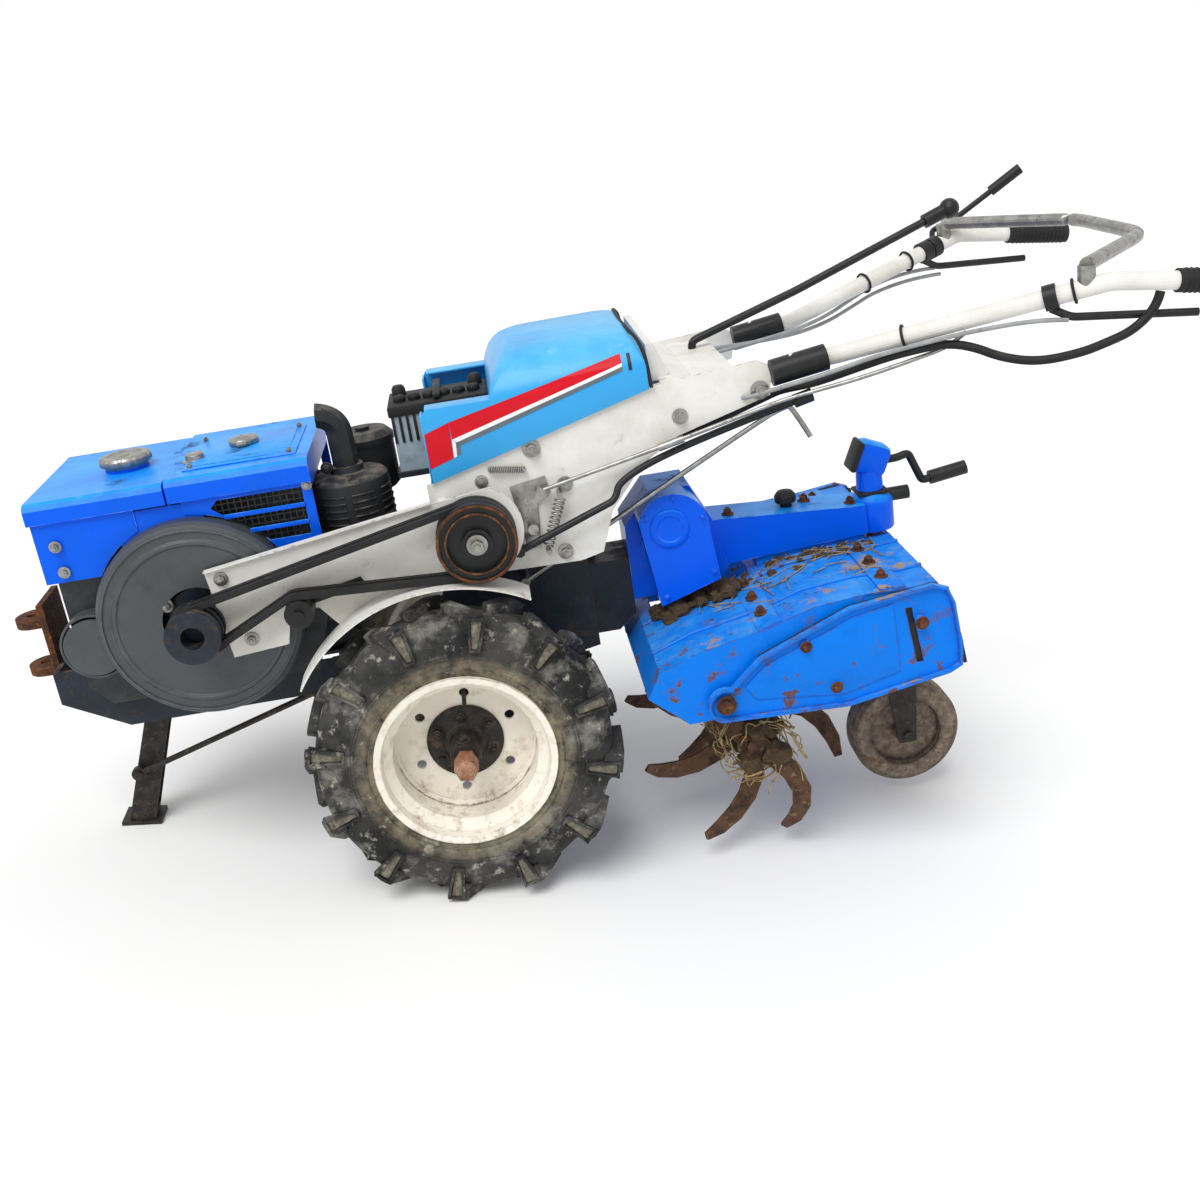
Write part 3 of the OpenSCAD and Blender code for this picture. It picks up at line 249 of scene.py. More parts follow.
nodePaint = {
    "blueEnamel": "fuel_tank radiator_cover engine_shroud tiller_case tiller_beam depth_column",
    "soiledEnamel": "tiller_hood side_panel_left side_panel_right",
    "skyEnamel": "bonnet",
    "ivoryEnamel": "side_plate_left side_plate_right belt_plate fender handle_tubes bonnet_rear",
    "chassisPaint": "engine_pulley engine_frame rear_hitch gearbox",
    "scaledRust": "front_hitch",
    "scouredTine": "tines rotor",
    "engineCasting": "engine_block",
    "coverPaint": "flywheel_cover",
    "dulledSteel": "filler_caps loop_bar clutch_linkage control_rods",
    "blackEnamel": "input_pulley idler_pulley main_lever shift_lever hand_levers depth_crank "
                   "side_grille handle_collars",
    "heatBlack": "muffler air_cleaner",
    "soilDisc": "tail_wheel",
    "oilyIron": "tail_post wheel_left_axle wheel_right_axle stand_leg stand_rod",
    "mouldedRubber": "grips drive_belts",
    "mudTyre": "wheel_left_tyre wheel_right_tyre",
    "creamEnamel": "wheel_left_rim wheel_right_rim",
    "caseMoulding": "battery",
}
for name, members in nodePaint.items():
    for member in members.split():
        nodes[member].data.materials.clear()
        nodes[member].data.materials.append(paint[name])
print("finishes on CAD nodes")


# Modelling helpers. Pieces are modelled in the level frame and set into the parked row at the end.
def only(piece):
    bpy.ops.object.select_all(action="DESELECT")
    piece.select_set(True)
    bpy.context.view_layer.objects.active = piece


def modified(piece, kind, **settings):
    only(piece)
    step = piece.modifiers.new(kind.lower(), kind)
    for key, value in settings.items():
        setattr(step, key, value)
    bpy.ops.object.modifier_apply(modifier=step.name)
    return piece


def softened(piece, width, steps=2):
    modified(piece, "BEVEL", width=width * mm, segments=steps, limit_method="ANGLE",
             angle_limit=math.radians(35))
    bpy.ops.object.shade_smooth_by_angle(angle=math.radians(40))
    return piece


def outlined(name, points, edges, faces):
    mesh = bpy.data.meshes.new(name)
    mesh.from_pydata(points, edges, faces)
    piece = bpy.data.objects.new(name, mesh)
    bpy.context.collection.objects.link(piece)
    only(piece)
    return piece


def facedOut(piece):
    only(piece)
    bpy.ops.object.mode_set(mode="EDIT")
    bpy.ops.mesh.select_all(action="SELECT")
    bpy.ops.mesh.normals_make_consistent(inside=False)
    bpy.ops.object.mode_set(mode="OBJECT")
    return piece


# Joins the parts, sets them into the parked row and gives them finish, body and replaced node
def settle(parts, name, body, look, hides=None):
    bpy.ops.object.select_all(action="DESELECT")
    for part in parts:
        part.select_set(True)
    bpy.context.view_layer.objects.active = parts[0]
    if len(parts) > 1:
        bpy.ops.object.join()
    piece = bpy.context.view_layer.objects.active
    piece.name = name
    piece.data.name = name
    piece.data.transform(levelToRow @ piece.matrix_world)
    piece.matrix_world = Matrix.Identity(4)
    piece.data.materials.clear()
    piece.data.materials.append(paint[look])
    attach(piece, body)
    if hides:
        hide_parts(hides)
    return piece


def turned(axis):
    return up.rotation_difference(Vector(axis)).to_matrix().to_4x4()


def block(centre, size, soft, tiltDeg=0.0):
    bpy.ops.mesh.primitive_cube_add(size=1, location=Vector(centre) * mm,
                                    rotation=(0, math.radians(tiltDeg), 0))
    cube = bpy.context.object
    cube.scale = Vector(size) * mm
    bpy.ops.object.transform_apply(location=False, rotation=False, scale=True)
    return softened(cube, soft)


# A disc or ring with steps: radius and height pairs up its side, by extruding and scaling the top face
def stepped(centre, axis, steps, sides=32, soft=0.8):
    bpy.ops.mesh.primitive_circle_add(vertices=sides, radius=steps[0][0] * mm, fill_type="NGON",
                                      location=(0, 0, steps[0][1] * mm))
    disc = bpy.context.object
    bpy.ops.object.mode_set(mode="EDIT")
    for (r0, h0), (r1, h1) in zip(steps, steps[1:]):
        bpy.ops.mesh.extrude_region_move(TRANSFORM_OT_translate={"value": (0, 0, (h1 - h0) * mm)})
        bpy.ops.transform.resize(value=(r1 / r0, r1 / r0, 1))
    bpy.ops.object.mode_set(mode="OBJECT")
    softened(facedOut(disc), soft)
    disc.matrix_world = Matrix.Translation(Vector(centre) * mm) @ turned(axis) @ disc.matrix_world
    return disc


# A flat plate: an outline in x and z, extruded across from y0 to y1
def sheet(outline, y0, y1, soft):
    points = [(x * mm, y0 * mm, z * mm) for x, z in outline]
    plate = outlined("sheet", points, [], [list(range(len(outline)))])
    bpy.ops.object.mode_set(mode="EDIT")
    bpy.ops.mesh.select_all(action="SELECT")
    bpy.ops.mesh.extrude_region_move(TRANSFORM_OT_translate={"value": (0, (y1 - y0) * mm, 0)})
    bpy.ops.object.mode_set(mode="OBJECT")
    return softened(facedOut(plate), soft)


def wire(points, radius, smooth=True):
    curve = bpy.data.curves.new("wire", "CURVE")
    curve.dimensions = "3D"
    curve.bevel_depth = radius * mm
    curve.bevel_resolution = 2
    curve.use_fill_caps = True
    line = curve.splines.new("NURBS" if smooth else "POLY")
    line.points.add(len(points) - 1)
    for point, place in zip(line.points, points):
        point.co = (*(Vector(place) * mm), 1)
    if smooth:
        line.use_endpoint_u = True
        line.order_u = 3
    strand = bpy.data.objects.new("wire", curve)
    bpy.context.collection.objects.link(strand)
    only(strand)
    bpy.ops.object.convert(target="MESH")
    return bpy.context.object


def pin(x, z, y0, y1, radius):
    return wire([(x, y0, z), (x, y1, z)], radius, False)


def coil(start, end, radius, thick, turns):
    a, b = Vector(start), Vector(end)
    turn = turned((b - a).normalized())
    perTurn = 12
    steps = int(turns * perTurn)
    angles = [2 * math.pi * i / perTurn for i in range(steps + 1)]
    ring = [turn @ Vector((radius * math.cos(angle), radius * math.sin(angle), 0)) for angle in angles]
    return wire([a + (b - a) * (i / steps) + ring[i] for i in range(steps + 1)], thick, smooth=False)


def hoop(centre, axis, radius, thick):
    turn = turned(axis)
    angles = [math.pi * i / 32 for i in range(65)]
    ring = [turn @ Vector((radius * math.cos(angle), radius * math.sin(angle), 0)) for angle in angles]
    return wire([Vector(centre) + spot for spot in ring], thick, False)


def copied(piece, place):
    twin = piece.copy()
    twin.data = piece.data.copy()
    bpy.context.collection.objects.link(twin)
    twin.matrix_world = place @ piece.matrix_world
    return twin


# One hex bolt on its washer, 1 mm across the flats, copied to every place it is needed
bpy.ops.mesh.primitive_cylinder_add(vertices=24, radius=0.86 * mm, depth=0.16 * mm,
                                    location=(0, 0, 0.08 * mm))
washer = softened(bpy.context.object, 0.03)
bpy.ops.mesh.primitive_cylinder_add(vertices=6, radius=0.577 * mm, depth=0.6 * mm, location=(0, 0, 0.46 * mm))
boltMaster = softened(bpy.context.object, 0.07)
bpy.ops.mesh.primitive_cylinder_add(vertices=16, radius=0.3 * mm, depth=0.3 * mm, location=(0, 0, 0.86 * mm))
shank = softened(bpy.context.object, 0.05)
bpy.ops.object.select_all(action="DESELECT")
for part in (washer, shank, boltMaster):
    part.select_set(True)
bpy.context.view_layer.objects.active = boltMaster
bpy.ops.object.join()
bpy.ops.object.transform_apply(location=True, rotation=True, scale=True)


def boltsAt(name, spots, body, look):
    parts = []
    for x, y, z, size, axis in spots:
        place = Matrix.Translation(Vector((x, y, z)) * mm) @ turned(axis) @ Matrix.Scale(size, 4)
        parts.append(copied(boltMaster, place))
    return settle(parts, name, body, look)


# A band of paint that follows the side of a shell between an upper and a lower edge
def bandOn(host, edges, columns, rows, lift):
    (ux0, uz0), (ux1, uz1), (lx0, lz0), (lx1, lz1) = edges
    toLevel = levelToRow.inverted()
    aim = levelToRow.to_3x3() @ inward
    castFrom, flatSide = 0.6, 0.19  # metres out: clear of the shell, and its side where a ray misses
    points, faces = [], []
    for i in range(columns + 1):
        for k in range(rows + 1):
            s, t = i / columns, k / rows
            x = (ux0 + (ux1 - ux0) * s) * (1 - t) + (lx0 + (lx1 - lx0) * s) * t
            z = (uz0 + (uz1 - uz0) * s) * (1 - t) + (lz0 + (lz1 - lz0) * s) * t
            hit, place = host.ray_cast(levelToRow @ Vector((x * mm, castFrom, z * mm)), aim)[:2]
            spot = toLevel @ place if hit else Vector((x * mm, flatSide, z * mm))
            points.append((x * mm, spot.y + lift * mm, z * mm))
    for i in range(columns):
        for k in range(rows):
            a = i * (rows + 1) + k
            faces.append((a, a + 1, a + rows + 2, a + rows + 1))
    band = facedOut(outlined("band", points, [], faces))
    return modified(band, "SOLIDIFY", thickness=0.6 * mm, offset=0.0)


# Tyres: a smooth carcass turned from its profile, and one lug with a sidewall block copied round both halves
tyreLook = {"steps": 96, "lugs": 12, "radius": 290.0, "lugHeight": 26.0, "half": 64.0, "lean": 40.0,
            "rim": 167.0, "seat": 0.4, "track": 285.0, "barWidth": 32, "barTaper": 8, "barFlare": 7,
            "barLength": 86, "barAt": 28, "padDeg": 5.5}


def tyreCarcass(look):
    r, body, wall = look["rim"], look["radius"] - look["lugHeight"] + 9, look["half"] - 7
    profile = [(r - 11 + look["seat"], 34), (r - 8.6 + look["seat"], 49.5), (r + 4, 50.2), (r + 12, 53.5),
               (r + 26, wall - 1), (r + 44, wall),
               (body - 26, wall - 2.5), (body - 13, wall - 8), (body - 5, wall - 18), (body - 1, wall - 32),
               (body, 0)]
    profile = profile + [(a, -b) for a, b in reversed(profile[:-1])] + [(r - 19, -26), (r - 19, 26)]
    count = len(profile)
    points = [(a * mm, b * mm, 0) for a, b in profile]
    carcass = outlined("carcass", points, [(i, (i + 1) % count) for i in range(count)], [])
    bpy.ops.object.mode_set(mode="EDIT")
    bpy.ops.mesh.select_all(action="SELECT")
    bpy.ops.mesh.spin(steps=look["steps"], angle=2 * math.pi, center=(0, 0, 0), axis=(0, 1, 0),
                      use_auto_merge=True)
    bpy.ops.mesh.select_all(action="SELECT")
    bpy.ops.mesh.remove_doubles(threshold=0.00005)
    bpy.ops.object.mode_set(mode="OBJECT")
    facedOut(carcass)
    bpy.ops.object.shade_smooth_by_angle(angle=math.radians(50))
    return carcass


def tyreLug(look, side):
    top, half = look["radius"], look["half"]
    lean = math.radians(look["lean"]) * side
    bpy.ops.mesh.primitive_cube_add(size=1)
    bar = bpy.context.object
    bpy.ops.object.mode_set(mode="EDIT")
    bpy.ops.mesh.subdivide(number_cuts=5)
    bpy.ops.object.mode_set(mode="OBJECT")
    for vertex in bar.data.vertices:  # taper to the tread face, round it to the tyre's circle
        along, across, high = vertex.co.y, vertex.co.x, vertex.co.z + 0.5
        flare = look["barFlare"] if along * side > 0.3 else 0
        width = look["barWidth"] - look["barTaper"] * high + flare
        length = along * look["barLength"]
        x = across * width * math.cos(lean) - length * math.sin(lean)
        y = side * look["barAt"] + across * width * math.sin(lean) + length * math.cos(lean)
        y = max(-half + 3, min(half - 3, y))
        radius = top - (1 - high) * (look["lugHeight"] + 9)
        radius -= 5 * max(0.0, abs(y) / half - 0.72) * 3
        vertex.co = (radius * math.sin(x / top) * mm, y * mm, radius * math.cos(x / top) * mm)
    softened(bar, 3.0, 3)
    outline = [(-10, top - 72), (10, top - 72), (15, top - 22), (17, top - 8), (-17, top - 8),
               (-15, top - 22)]
    pad = sheet(outline, side * (half - 14), side * half, 0.01)
    only(pad)
    bpy.ops.object.mode_set(mode="EDIT")
    bpy.ops.mesh.select_mode(type="FACE")
    bpy.ops.mesh.select_all(action="DESELECT")
    bpy.ops.object.mode_set(mode="OBJECT")
    for face in pad.data.polygons:
        face.select = face.normal.y * side > 0.9
    bpy.ops.object.mode_set(mode="EDIT")
    bpy.ops.mesh.inset(thickness=4.5 * mm)
    bpy.ops.mesh.extrude_region_move(TRANSFORM_OT_translate={"value": (0, -side * 4 * mm, 0)})
    bpy.ops.object.mode_set(mode="OBJECT")
    softened(pad, 2.2, 3)
    padTurn = Matrix.Rotation(-math.radians(look["padDeg"]), 4, "Y")
    pad.matrix_world = padTurn @ pad.matrix_world
    hollow = [(-5, top - 67), (5, top - 67), (10, top - 14), (-10, top - 14)]
    fill = sheet(hollow, side * (half - 6), side * (half - 2.6), 1.0)
    fill.matrix_world = padTurn @ fill.matrix_world
    return [bar, pad], fill


def wholeTyre(look):
    parts, soil = [tyreCarcass(look)], []
    for side in (-1, 1):
        lug, fill = tyreLug(look, side)
        for i in range(look["lugs"]):
            turn = Matrix.Rotation(2 * math.pi / look["lugs"] * (i + (0 if side > 0 else 0.5)), 4, "Y")
            parts += [copied(part, turn) for part in lug]
            soil.append(copied(fill, turn))
        for part in lug + [fill]:
            bpy.data.objects.remove(part)
    return parts, soil


levelOut = Matrix.Rotation(-nosePitch, 4, "Y")  # wheels stand upright in the row
for side, name in ((1, "left"), (-1, "right")):
    parts, soil = wholeTyre(tyreLook)
    place = levelOut @ Matrix.Translation((0, side * tyreLook["track"] * mm, 0))
    if side < 0:
        place = place @ Matrix.Rotation(math.pi, 4, "Z")
    for part in parts + soil:
        part.matrix_world = place @ part.matrix_world
    settle(parts, name + "LugTyre", "wheel_" + name, "mudTyre", "wheel_" + name + "_tyre")
    settle(soil, name + "LugSoil", "wheel_" + name, "paleSoil")
print("tyres done")

# Bonnet: a rounded hump lofted in rings, two forward cheeks with flanges, black seam at the rear
humpLook = {"half": 190.0, "front": -150.0, "rear": -434.0, "frontLow": 514.0, "rearLow": 590.0,
            "frontTop": 610.0, "rearTop": 632.0,
            "draws": [(0, 0, 0), (3, 14, 3), (10, 28, 8), (20, 44, 15), (34, 58, 25), (52, 70, 36),
                      (78, 78, 47)], "corner": (1.5, 46.0),
            "cheek": [(-24, 481), (-26, 602), (-30, 611), (-40, 616), (-152, 616), (-152, 514)],
            "seam": [(-438, 190, 592), (-436, 190, 630), (-433, 180, 655), (-427, 157, 676),
                     (-412, 108, 692)]}


def humpRing(look, draw, low, corner):
    half, front, rear = look["half"] - draw[0], look["front"] - draw[2], look["rear"] + draw[2] / 2
    zFront = look["frontLow"] if low else look["frontTop"] + draw[1]
    zRear = look["rearLow"] if low else look["rearTop"] + 0.77 * draw[1]
    ring = []
    for k, (x, y) in enumerate(((front, half), (rear, half), (rear, -half), (front, -half))):
        for step in range(7):
            a = math.pi / 2 * (k + step / 6)
            cx = x - corner if k in (0, 3) else x + corner
            cy = y - corner if k in (0, 1) else y + corner
            px, py = cx + corner * math.cos(a), cy + corner * math.sin(a)
            ring.append((px, py, zFront + (zRear - zFront) * (front - px) / (front - rear)))
    return ring


def lofted(rings, capTop):
    count = len(rings[0])
    points = [Vector(p) * mm for ring in rings for p in ring]
    faces = []
    for r in range(len(rings) - 1):
        low, high = r * count, (r + 1) * count
        faces += [(low + i, low + (i + 1) % count, high + (i + 1) % count, high + i) for i in range(count)]
    if capTop:
        faces.append(tuple(range((len(rings) - 1) * count, len(rings) * count)))
    return facedOut(outlined("loft", points, [], faces))


near, far = humpLook["corner"]
rings = [humpRing(humpLook, (0, 0, 0), True, near)]
for i, draw in enumerate(humpLook["draws"]):
    rings.append(humpRing(humpLook, draw, False, near + (far - near) * (i / 6) ** 1.5))
hump = modified(lofted(rings, True), "SOLIDIFY", thickness=3 * mm, offset=-1.0)
softened(hump, 5, 3)
cheeks = []
for side in (1, -1):
    cheeks.append(sheet(humpLook["cheek"], side * 186, side * 190, 1.2))
    cheeks += [block((-93, side * 167, 614), (118, 44, 4), 1.2),
               block((-26, side * 167, 544), (4, 46, 123), 1.2)]
bonnet = settle([hump] + cheeks, "bonnetShell", "chassis", "skyEnamel", "bonnet")
bpy.context.view_layer.update()
seamLine = humpLook["seam"] + [(x, -y, z) for x, y, z in reversed(humpLook["seam"])]
settle([wire(seamLine, 3.2)], "bonnetSeam", "chassis", "mouldedRubber")

# Bonnet: red, white and grey bands, and a black patch on the near side as painted shade in a slot
bonnetLook = {
    "red": [((-27, 573), (-73, 588), (-27, 509), (-71, 523)),
            ((-73, 588), (-391, 658), (-74, 557), (-391, 643))],
    "white": [((-73.4, 557), (-79.5, 553), (-71.6, 523.6), (-77.6, 525.5)),
              ((-74, 556.6), (-391, 642.6), (-79, 550), (-391, 637))],
    "grey": [((-80, 552), (-87, 547), (-78, 526), (-85, 528)),
             ((-80, 549.6), (-391, 636.6), (-87, 544), (-391, 630))],
    "slot": ((-402, 657), (-408, 657), (-408, 629), (-402, 629)),
}
bands = {key: [bandOn(bonnet, edges, 24, 6, 0.8) for edges in bonnetLook[key]]
         for key in ("red", "white", "grey")}
settle(bands["red"], "bonnetRedBand", "chassis", "redBand")
settle(bands["white"], "bonnetWhiteLine", "chassis", "whiteBand")
settle(bands["grey"], "bonnetGreyLine", "chassis", "greyBand")
# a black patch on the shell stands in for the shade inside the slot: painted shade
s0, s1, s2, s3 = bonnetLook["slot"]
settle([bandOn(bonnet, (s0, s1, s3, s2), 2, 8, 0.9)], "bonnetSlotShade", "chassis", "blackEnamel")
print("bonnet bands done")

# Muffler: drum with rows of louvre lips, boss, wide elbow cut off aslant
drumLook = {"centre": (130, 84), "rows": 7, "sectors": 8, "lip": 73.4, "bore": 24.0,
            "side": [(64, 374), (73, 383), (73, 494), (66, 501), (34, 505), (31, 506), (31, 518)],
            "elbow": [(130, 84, 505), (130, 84, 560), (131, 84, 594), (150, 88, 613), (182, 94, 621),
                      (216, 101, 629)]}
mx, my = drumLook["centre"]
drum = [stepped((mx, my, 0), up, drumLook["side"], 64, 1.5)]
for row in range(drumLook["rows"]):
    for sector in range(drumLook["sectors"]):
        arc = [2 * math.pi * (sector + 0.12 + 0.76 * t / 8) / drumLook["sectors"] for t in range(9)]
        lip = [(mx + drumLook["lip"] * math.cos(a), my + drumLook["lip"] * math.sin(a)) for a in arc]
        drum.append(wire([(x, y, 396 + 13 * row) for x, y in lip], 2.4, False))
elbow = wire(drumLook["elbow"], drumLook["bore"])
only(elbow)
bpy.ops.object.mode_set(mode="EDIT")
bpy.ops.mesh.select_all(action="SELECT")
bpy.ops.mesh.bisect(plane_co=Vector((166, 93, 606)) * mm, plane_no=(0.99, 0.0, 0.1), clear_outer=True)
bpy.ops.object.mode_set(mode="OBJECT")
modified(elbow, "SOLIDIFY", thickness=3 * mm, offset=-1.0)
bpy.ops.object.shade_smooth_by_angle(angle=math.radians(40))
drum += [elbow, wire([(170, 84, 440), (215, 84, 440)], 17, False)]
settle(drum, "mufflerDrum", "chassis", "heatBlack", "muffler")

# Blue bars across the side window, and the panel in front of it
windowLook = {"bars": [((258, 175, 448), (106, 4, 8)), ((278, 175, 480), (146, 4, 8))],
              "panel": [(374, 500), (374, 516), (540, 516), (540, 430), (440, 430)]}
settle([block(*bar, 1) for bar in windowLook["bars"]], "windowBars", "chassis", "blueEnamel")
settle([sheet(windowLook["panel"], 166, 172, 1)], "shroudPanel", "chassis", "blueEnamel")

# Linkage: plate arm, return spring on two pins, long rod, hooked rod, black tiller lever
linkLook = {"arm": [(-176, 330), (-160, 452), (-226, 462), (-232, 430), (-206, 410), (-200, 330)],
            "rod": [(-213, 204, 441), (-435, 204, 484), (-644, 204, 530), (-700, 212, 541), (-804, 230, 557),
                    (-918, 247, 583), (-960, 262, 597), (-985, 272, 619)],
            "hook": [(-160, 150, 256), (-629, 150, 489), (-684, 150, 509), (-694, 150, 506),
                     (-724, 150, 445)],
            "lever": [(-159, 211, 337), (-323, 211, 396), (-346, 206, 403), (-358, 194, 435),
                      (-487, 192, 481), (-701, 192, 528)]}
arm = [sheet(linkLook["arm"], 182.2, 187, 1), coil((-247, 200, 420), (-212, 200, 334), 9, 1.8, 11)]
arm += [pin(-190, 372, 182, 208, 10), pin(-247, 429, 181, 211, 5), pin(-212, 325, 181, 211, 5)]
settle(arm, "clutchArm", "chassis", "dulledSteel", "clutch_linkage")
rods = [wire(linkLook["rod"], 4), pin(-213, 441, 181, 210, 8)]
rods.append(wire([(-435, 204, 484), (-482, 204, 494)], 7, False))  # turnbuckle
rods += [wire(linkLook["hook"], 5), pin(-160, 256, 95, 158, 9)]
settle(rods, "operatingRods", "chassis", "dulledSteel", "control_rods")
lever = [wire(linkLook["lever"], 7), wire([(-690, 192, 525.6), (-724, 192, 533)], 13, False)]
lever.append(pin(-159, 337, 181, 220, 10))
settle(lever, "tillerLever", "chassis", "blackEnamel")

# Cables: grey sheathed cables from the hand levers, black conduit from the left grip to the gearbox
cableLook = {"near": [(-1136, 347, 628), (-1090, 332, 633), (-990, 298, 624), (-918, 272, 612),
                      (-832, 236, 594), (-751, 222, 574), (-690, 212, 563), (-640, 200, 553),
                      (-605, 192, 546), (-600, 182, 545)],
             "upper": [(-1136, -347, 628), (-1090, -332, 633), (-990, -298, 624), (-930, -264, 606),
                       (-850, -200, 588), (-740, -110, 585), (-598, -60, 583)],
             "lower": [(-1150, -351, 613), (-1090, -336, 616), (-990, -302, 606), (-930, -270, 588),
                       (-850, -214, 572), (-740, -140, 573), (-598, -100, 583)],
             "conduit": [(-1282, 376, 658), (-1276, 377, 634), (-1235, 378, 600), (-1189, 376, 586),
                         (-1150, 362, 572), (-1087, 333, 561), (-1032, 309, 573), (-988, 289, 596),
                         (-947, 270, 604), (-900, 252, 597), (-858, 233, 588), (-804, 214, 573),
                         (-739, 198, 556), (-705, 188, 551), (-672, 168, 545), (-640, 158, 532),
                         (-560, 150, 505), (-470, 146, 478), (-380, 140, 452), (-300, 125, 440),
                         (-227, 112, 430)]}
settle([wire(cableLook[key], 4) for key in ("near", "upper", "lower")], "controlCables", "chassis",
       "cableSheath")
settle([wire(cableLook["conduit"], 8)], "wireConduit", "chassis", "mouldedRubber")
print("bonnet, muffler, linkage and cables done")

# Tines: one blade that sweeps back and bends over sideways at its tip, copied to the stations
tineLook = {"spine": [(24, 0, 0), (90, 4, 0), (135, 11, 3), (170, 19, 14), (198, 27, 31), (218, 34, 50)],
            "half": [20, 20, 19, 18, 15, 8], "thick": 8.0,
            "stations": (-250, -195, -135, -75, 75, 135, 195, 250), "axle": (-548, -115)}
rotorX, rotorZ = tineLook["axle"]


def tine(look, bend):
    spine, rings = [], []
    for r, deg, w in look["spine"]:
        a = math.radians(deg)
        spine.append(Vector((r * math.cos(a), bend * w, r * math.sin(a))))
    for i, place in enumerate(spine):
        along = (spine[min(i + 1, 5)] - spine[max(i - 1, 0)]).normalized()
        flat = (out - out.dot(along) * along).normalized()
        wide, deep = look["half"][i] * flat.cross(along), look["thick"] / 2 * flat
        rings.append([place + wide + deep, place + wide - deep, place - wide - deep, place - wide + deep])
    return softened(lofted(rings, True), 1.6)


blades = []
masters = {bend: tine(tineLook, bend) for bend in (1, -1)}
for i, y in enumerate(tineLook["stations"]):
    for k in (0, 1):
        lean = -1 if abs(y) > 200 else 1 if abs(y) < 100 else 2 * k - 1
        place = Matrix.Translation(Vector((rotorX, y + 4, rotorZ)) * mm)
        turn = Matrix.Rotation(math.radians(45 * i + 180 * k), 4, "Y")
        blades.append(copied(masters[lean if y > 0 else -lean], place @ turn))
for master in masters.values():
    bpy.data.objects.remove(master)
settle(blades, "bentTines", "tiller_rotor", "scouredTine", "tines")
tineSpots = []
for i, y in enumerate(tineLook["stations"]):
    for a in (math.radians(-45 * i), math.radians(180 - 45 * i)):
        tineSpots.append((rotorX + 38 * math.cos(a), y + 9, rotorZ + 38 * math.sin(a), 12, out))
boltsAt("tineBolts", tineSpots, "tiller_rotor", "scaledRust")
print("tines done")

# Hubs: black flange with its bolts, clamp bolt, brown axle end, valve, and thin lines on the sidewall
hubLook = {"flange": [(72, 0), (72, 5), (66, 8), (44, 9), (38, 16), (31, 17)], "bolts": 6, "pitch": 56.0,
           "bolt": 15.0, "end": [(22.6, 0), (22.6, 42), (19, 45)],
           "lines": [(180, 54), (203, 56.4), (209, 56.8)], "flangeAt": 246.2, "boltsAt": 254, "endAt": 333,
           "clamp": (312, 29, 15)}
for side, name in ((1, "left"), (-1, "right")):
    axis = (0, side, 0)
    flange = stepped((0, side * hubLook["flangeAt"], 0), axis, hubLook["flange"], 48)
    end = stepped((0, side * hubLook["endAt"], 0), axis, hubLook["end"], 6, 1.2)
    end.matrix_world = Matrix.Rotation(math.radians(30), 4, "Y") @ end.matrix_world
    lines = [hoop((0, side * (tyreLook["track"] + y), 0), axis, r, 1.5) for r, y in hubLook["lines"]]
    valve = wire([(0, side * 300, 122), (0, side * 316, 118), (0, side * 330, 112)], 4)
    settle(lines, name + "SidewallLines", "wheel_" + name, "mudTyre")
    for part in (flange, end, valve):
        part.matrix_world = levelOut @ part.matrix_world
    settle([flange], name + "HubFlange", "wheel_" + name, "oilyIron")
    settle([end], name + "AxleEnd", "wheel_" + name, "brownSteel")
    settle([valve], name + "TyreValve", "wheel_" + name, "mouldedRubber")
    ring = [2 * math.pi * i / hubLook["bolts"] for i in range(hubLook["bolts"])]
    pitch = hubLook["pitch"]
    clampY, clampZ, clampSize = hubLook["clamp"]
    spots = [(pitch * math.sin(a), side * hubLook["boltsAt"], pitch * math.cos(a), hubLook["bolt"], axis)
             for a in ring]
    boltsAt(name + "HubBolts", spots + [(0, side * clampY, clampZ, clampSize, up)], "wheel_" + name,
            "oilyIron")
print("hubs done")

# Filler caps: scalloped fuel cap, small sunk cap, eared radiator cap
capLook = {"fuel": (537, 10, 565), "scallops": 12, "depth": 0.05, "small": (401, 60, 563),
           "eared": (318, 0, 563),
           "fuelSide": [(39, -2), (39, 4), (48, 6), (48, 16), (44, 21), (33, 22), (30, 19), (10, 19),
                        (8, 21)],
           "smallSide": [(24, -1), (24, 2), (20, 3), (17, 4), (17, 13), (14, 15), (6, 15)],
           "earedSide": [(20, -1), (20, 5), (28, 6), (28, 14), (25, 17), (14, 18), (12, 20)]}
fuelCap = stepped(capLook["fuel"], up, capLook["fuelSide"], 96, 0.8)
for vertex in fuelCap.data.vertices:
    if math.hypot(vertex.co.x, vertex.co.y) > 0.041:
        around = capLook["scallops"] * math.atan2(vertex.co.y, vertex.co.x)
        pinch = 1 - capLook["depth"] * max(0.0, math.cos(around)) ** 2
        vertex.co.x *= pinch
        vertex.co.y *= pinch
smallCap = stepped(capLook["small"], up, capLook["smallSide"], 32)
earedCap = stepped(capLook["eared"], up, capLook["earedSide"], 40)
ears = [block((capLook["eared"][0], side * 29, 573), (20, 12, 9), 3) for side in (-1, 1)]
settle([fuelCap, smallCap, earedCap] + ears, "fillerCapSet", "chassis", "dulledSteel",
       "filler_caps")

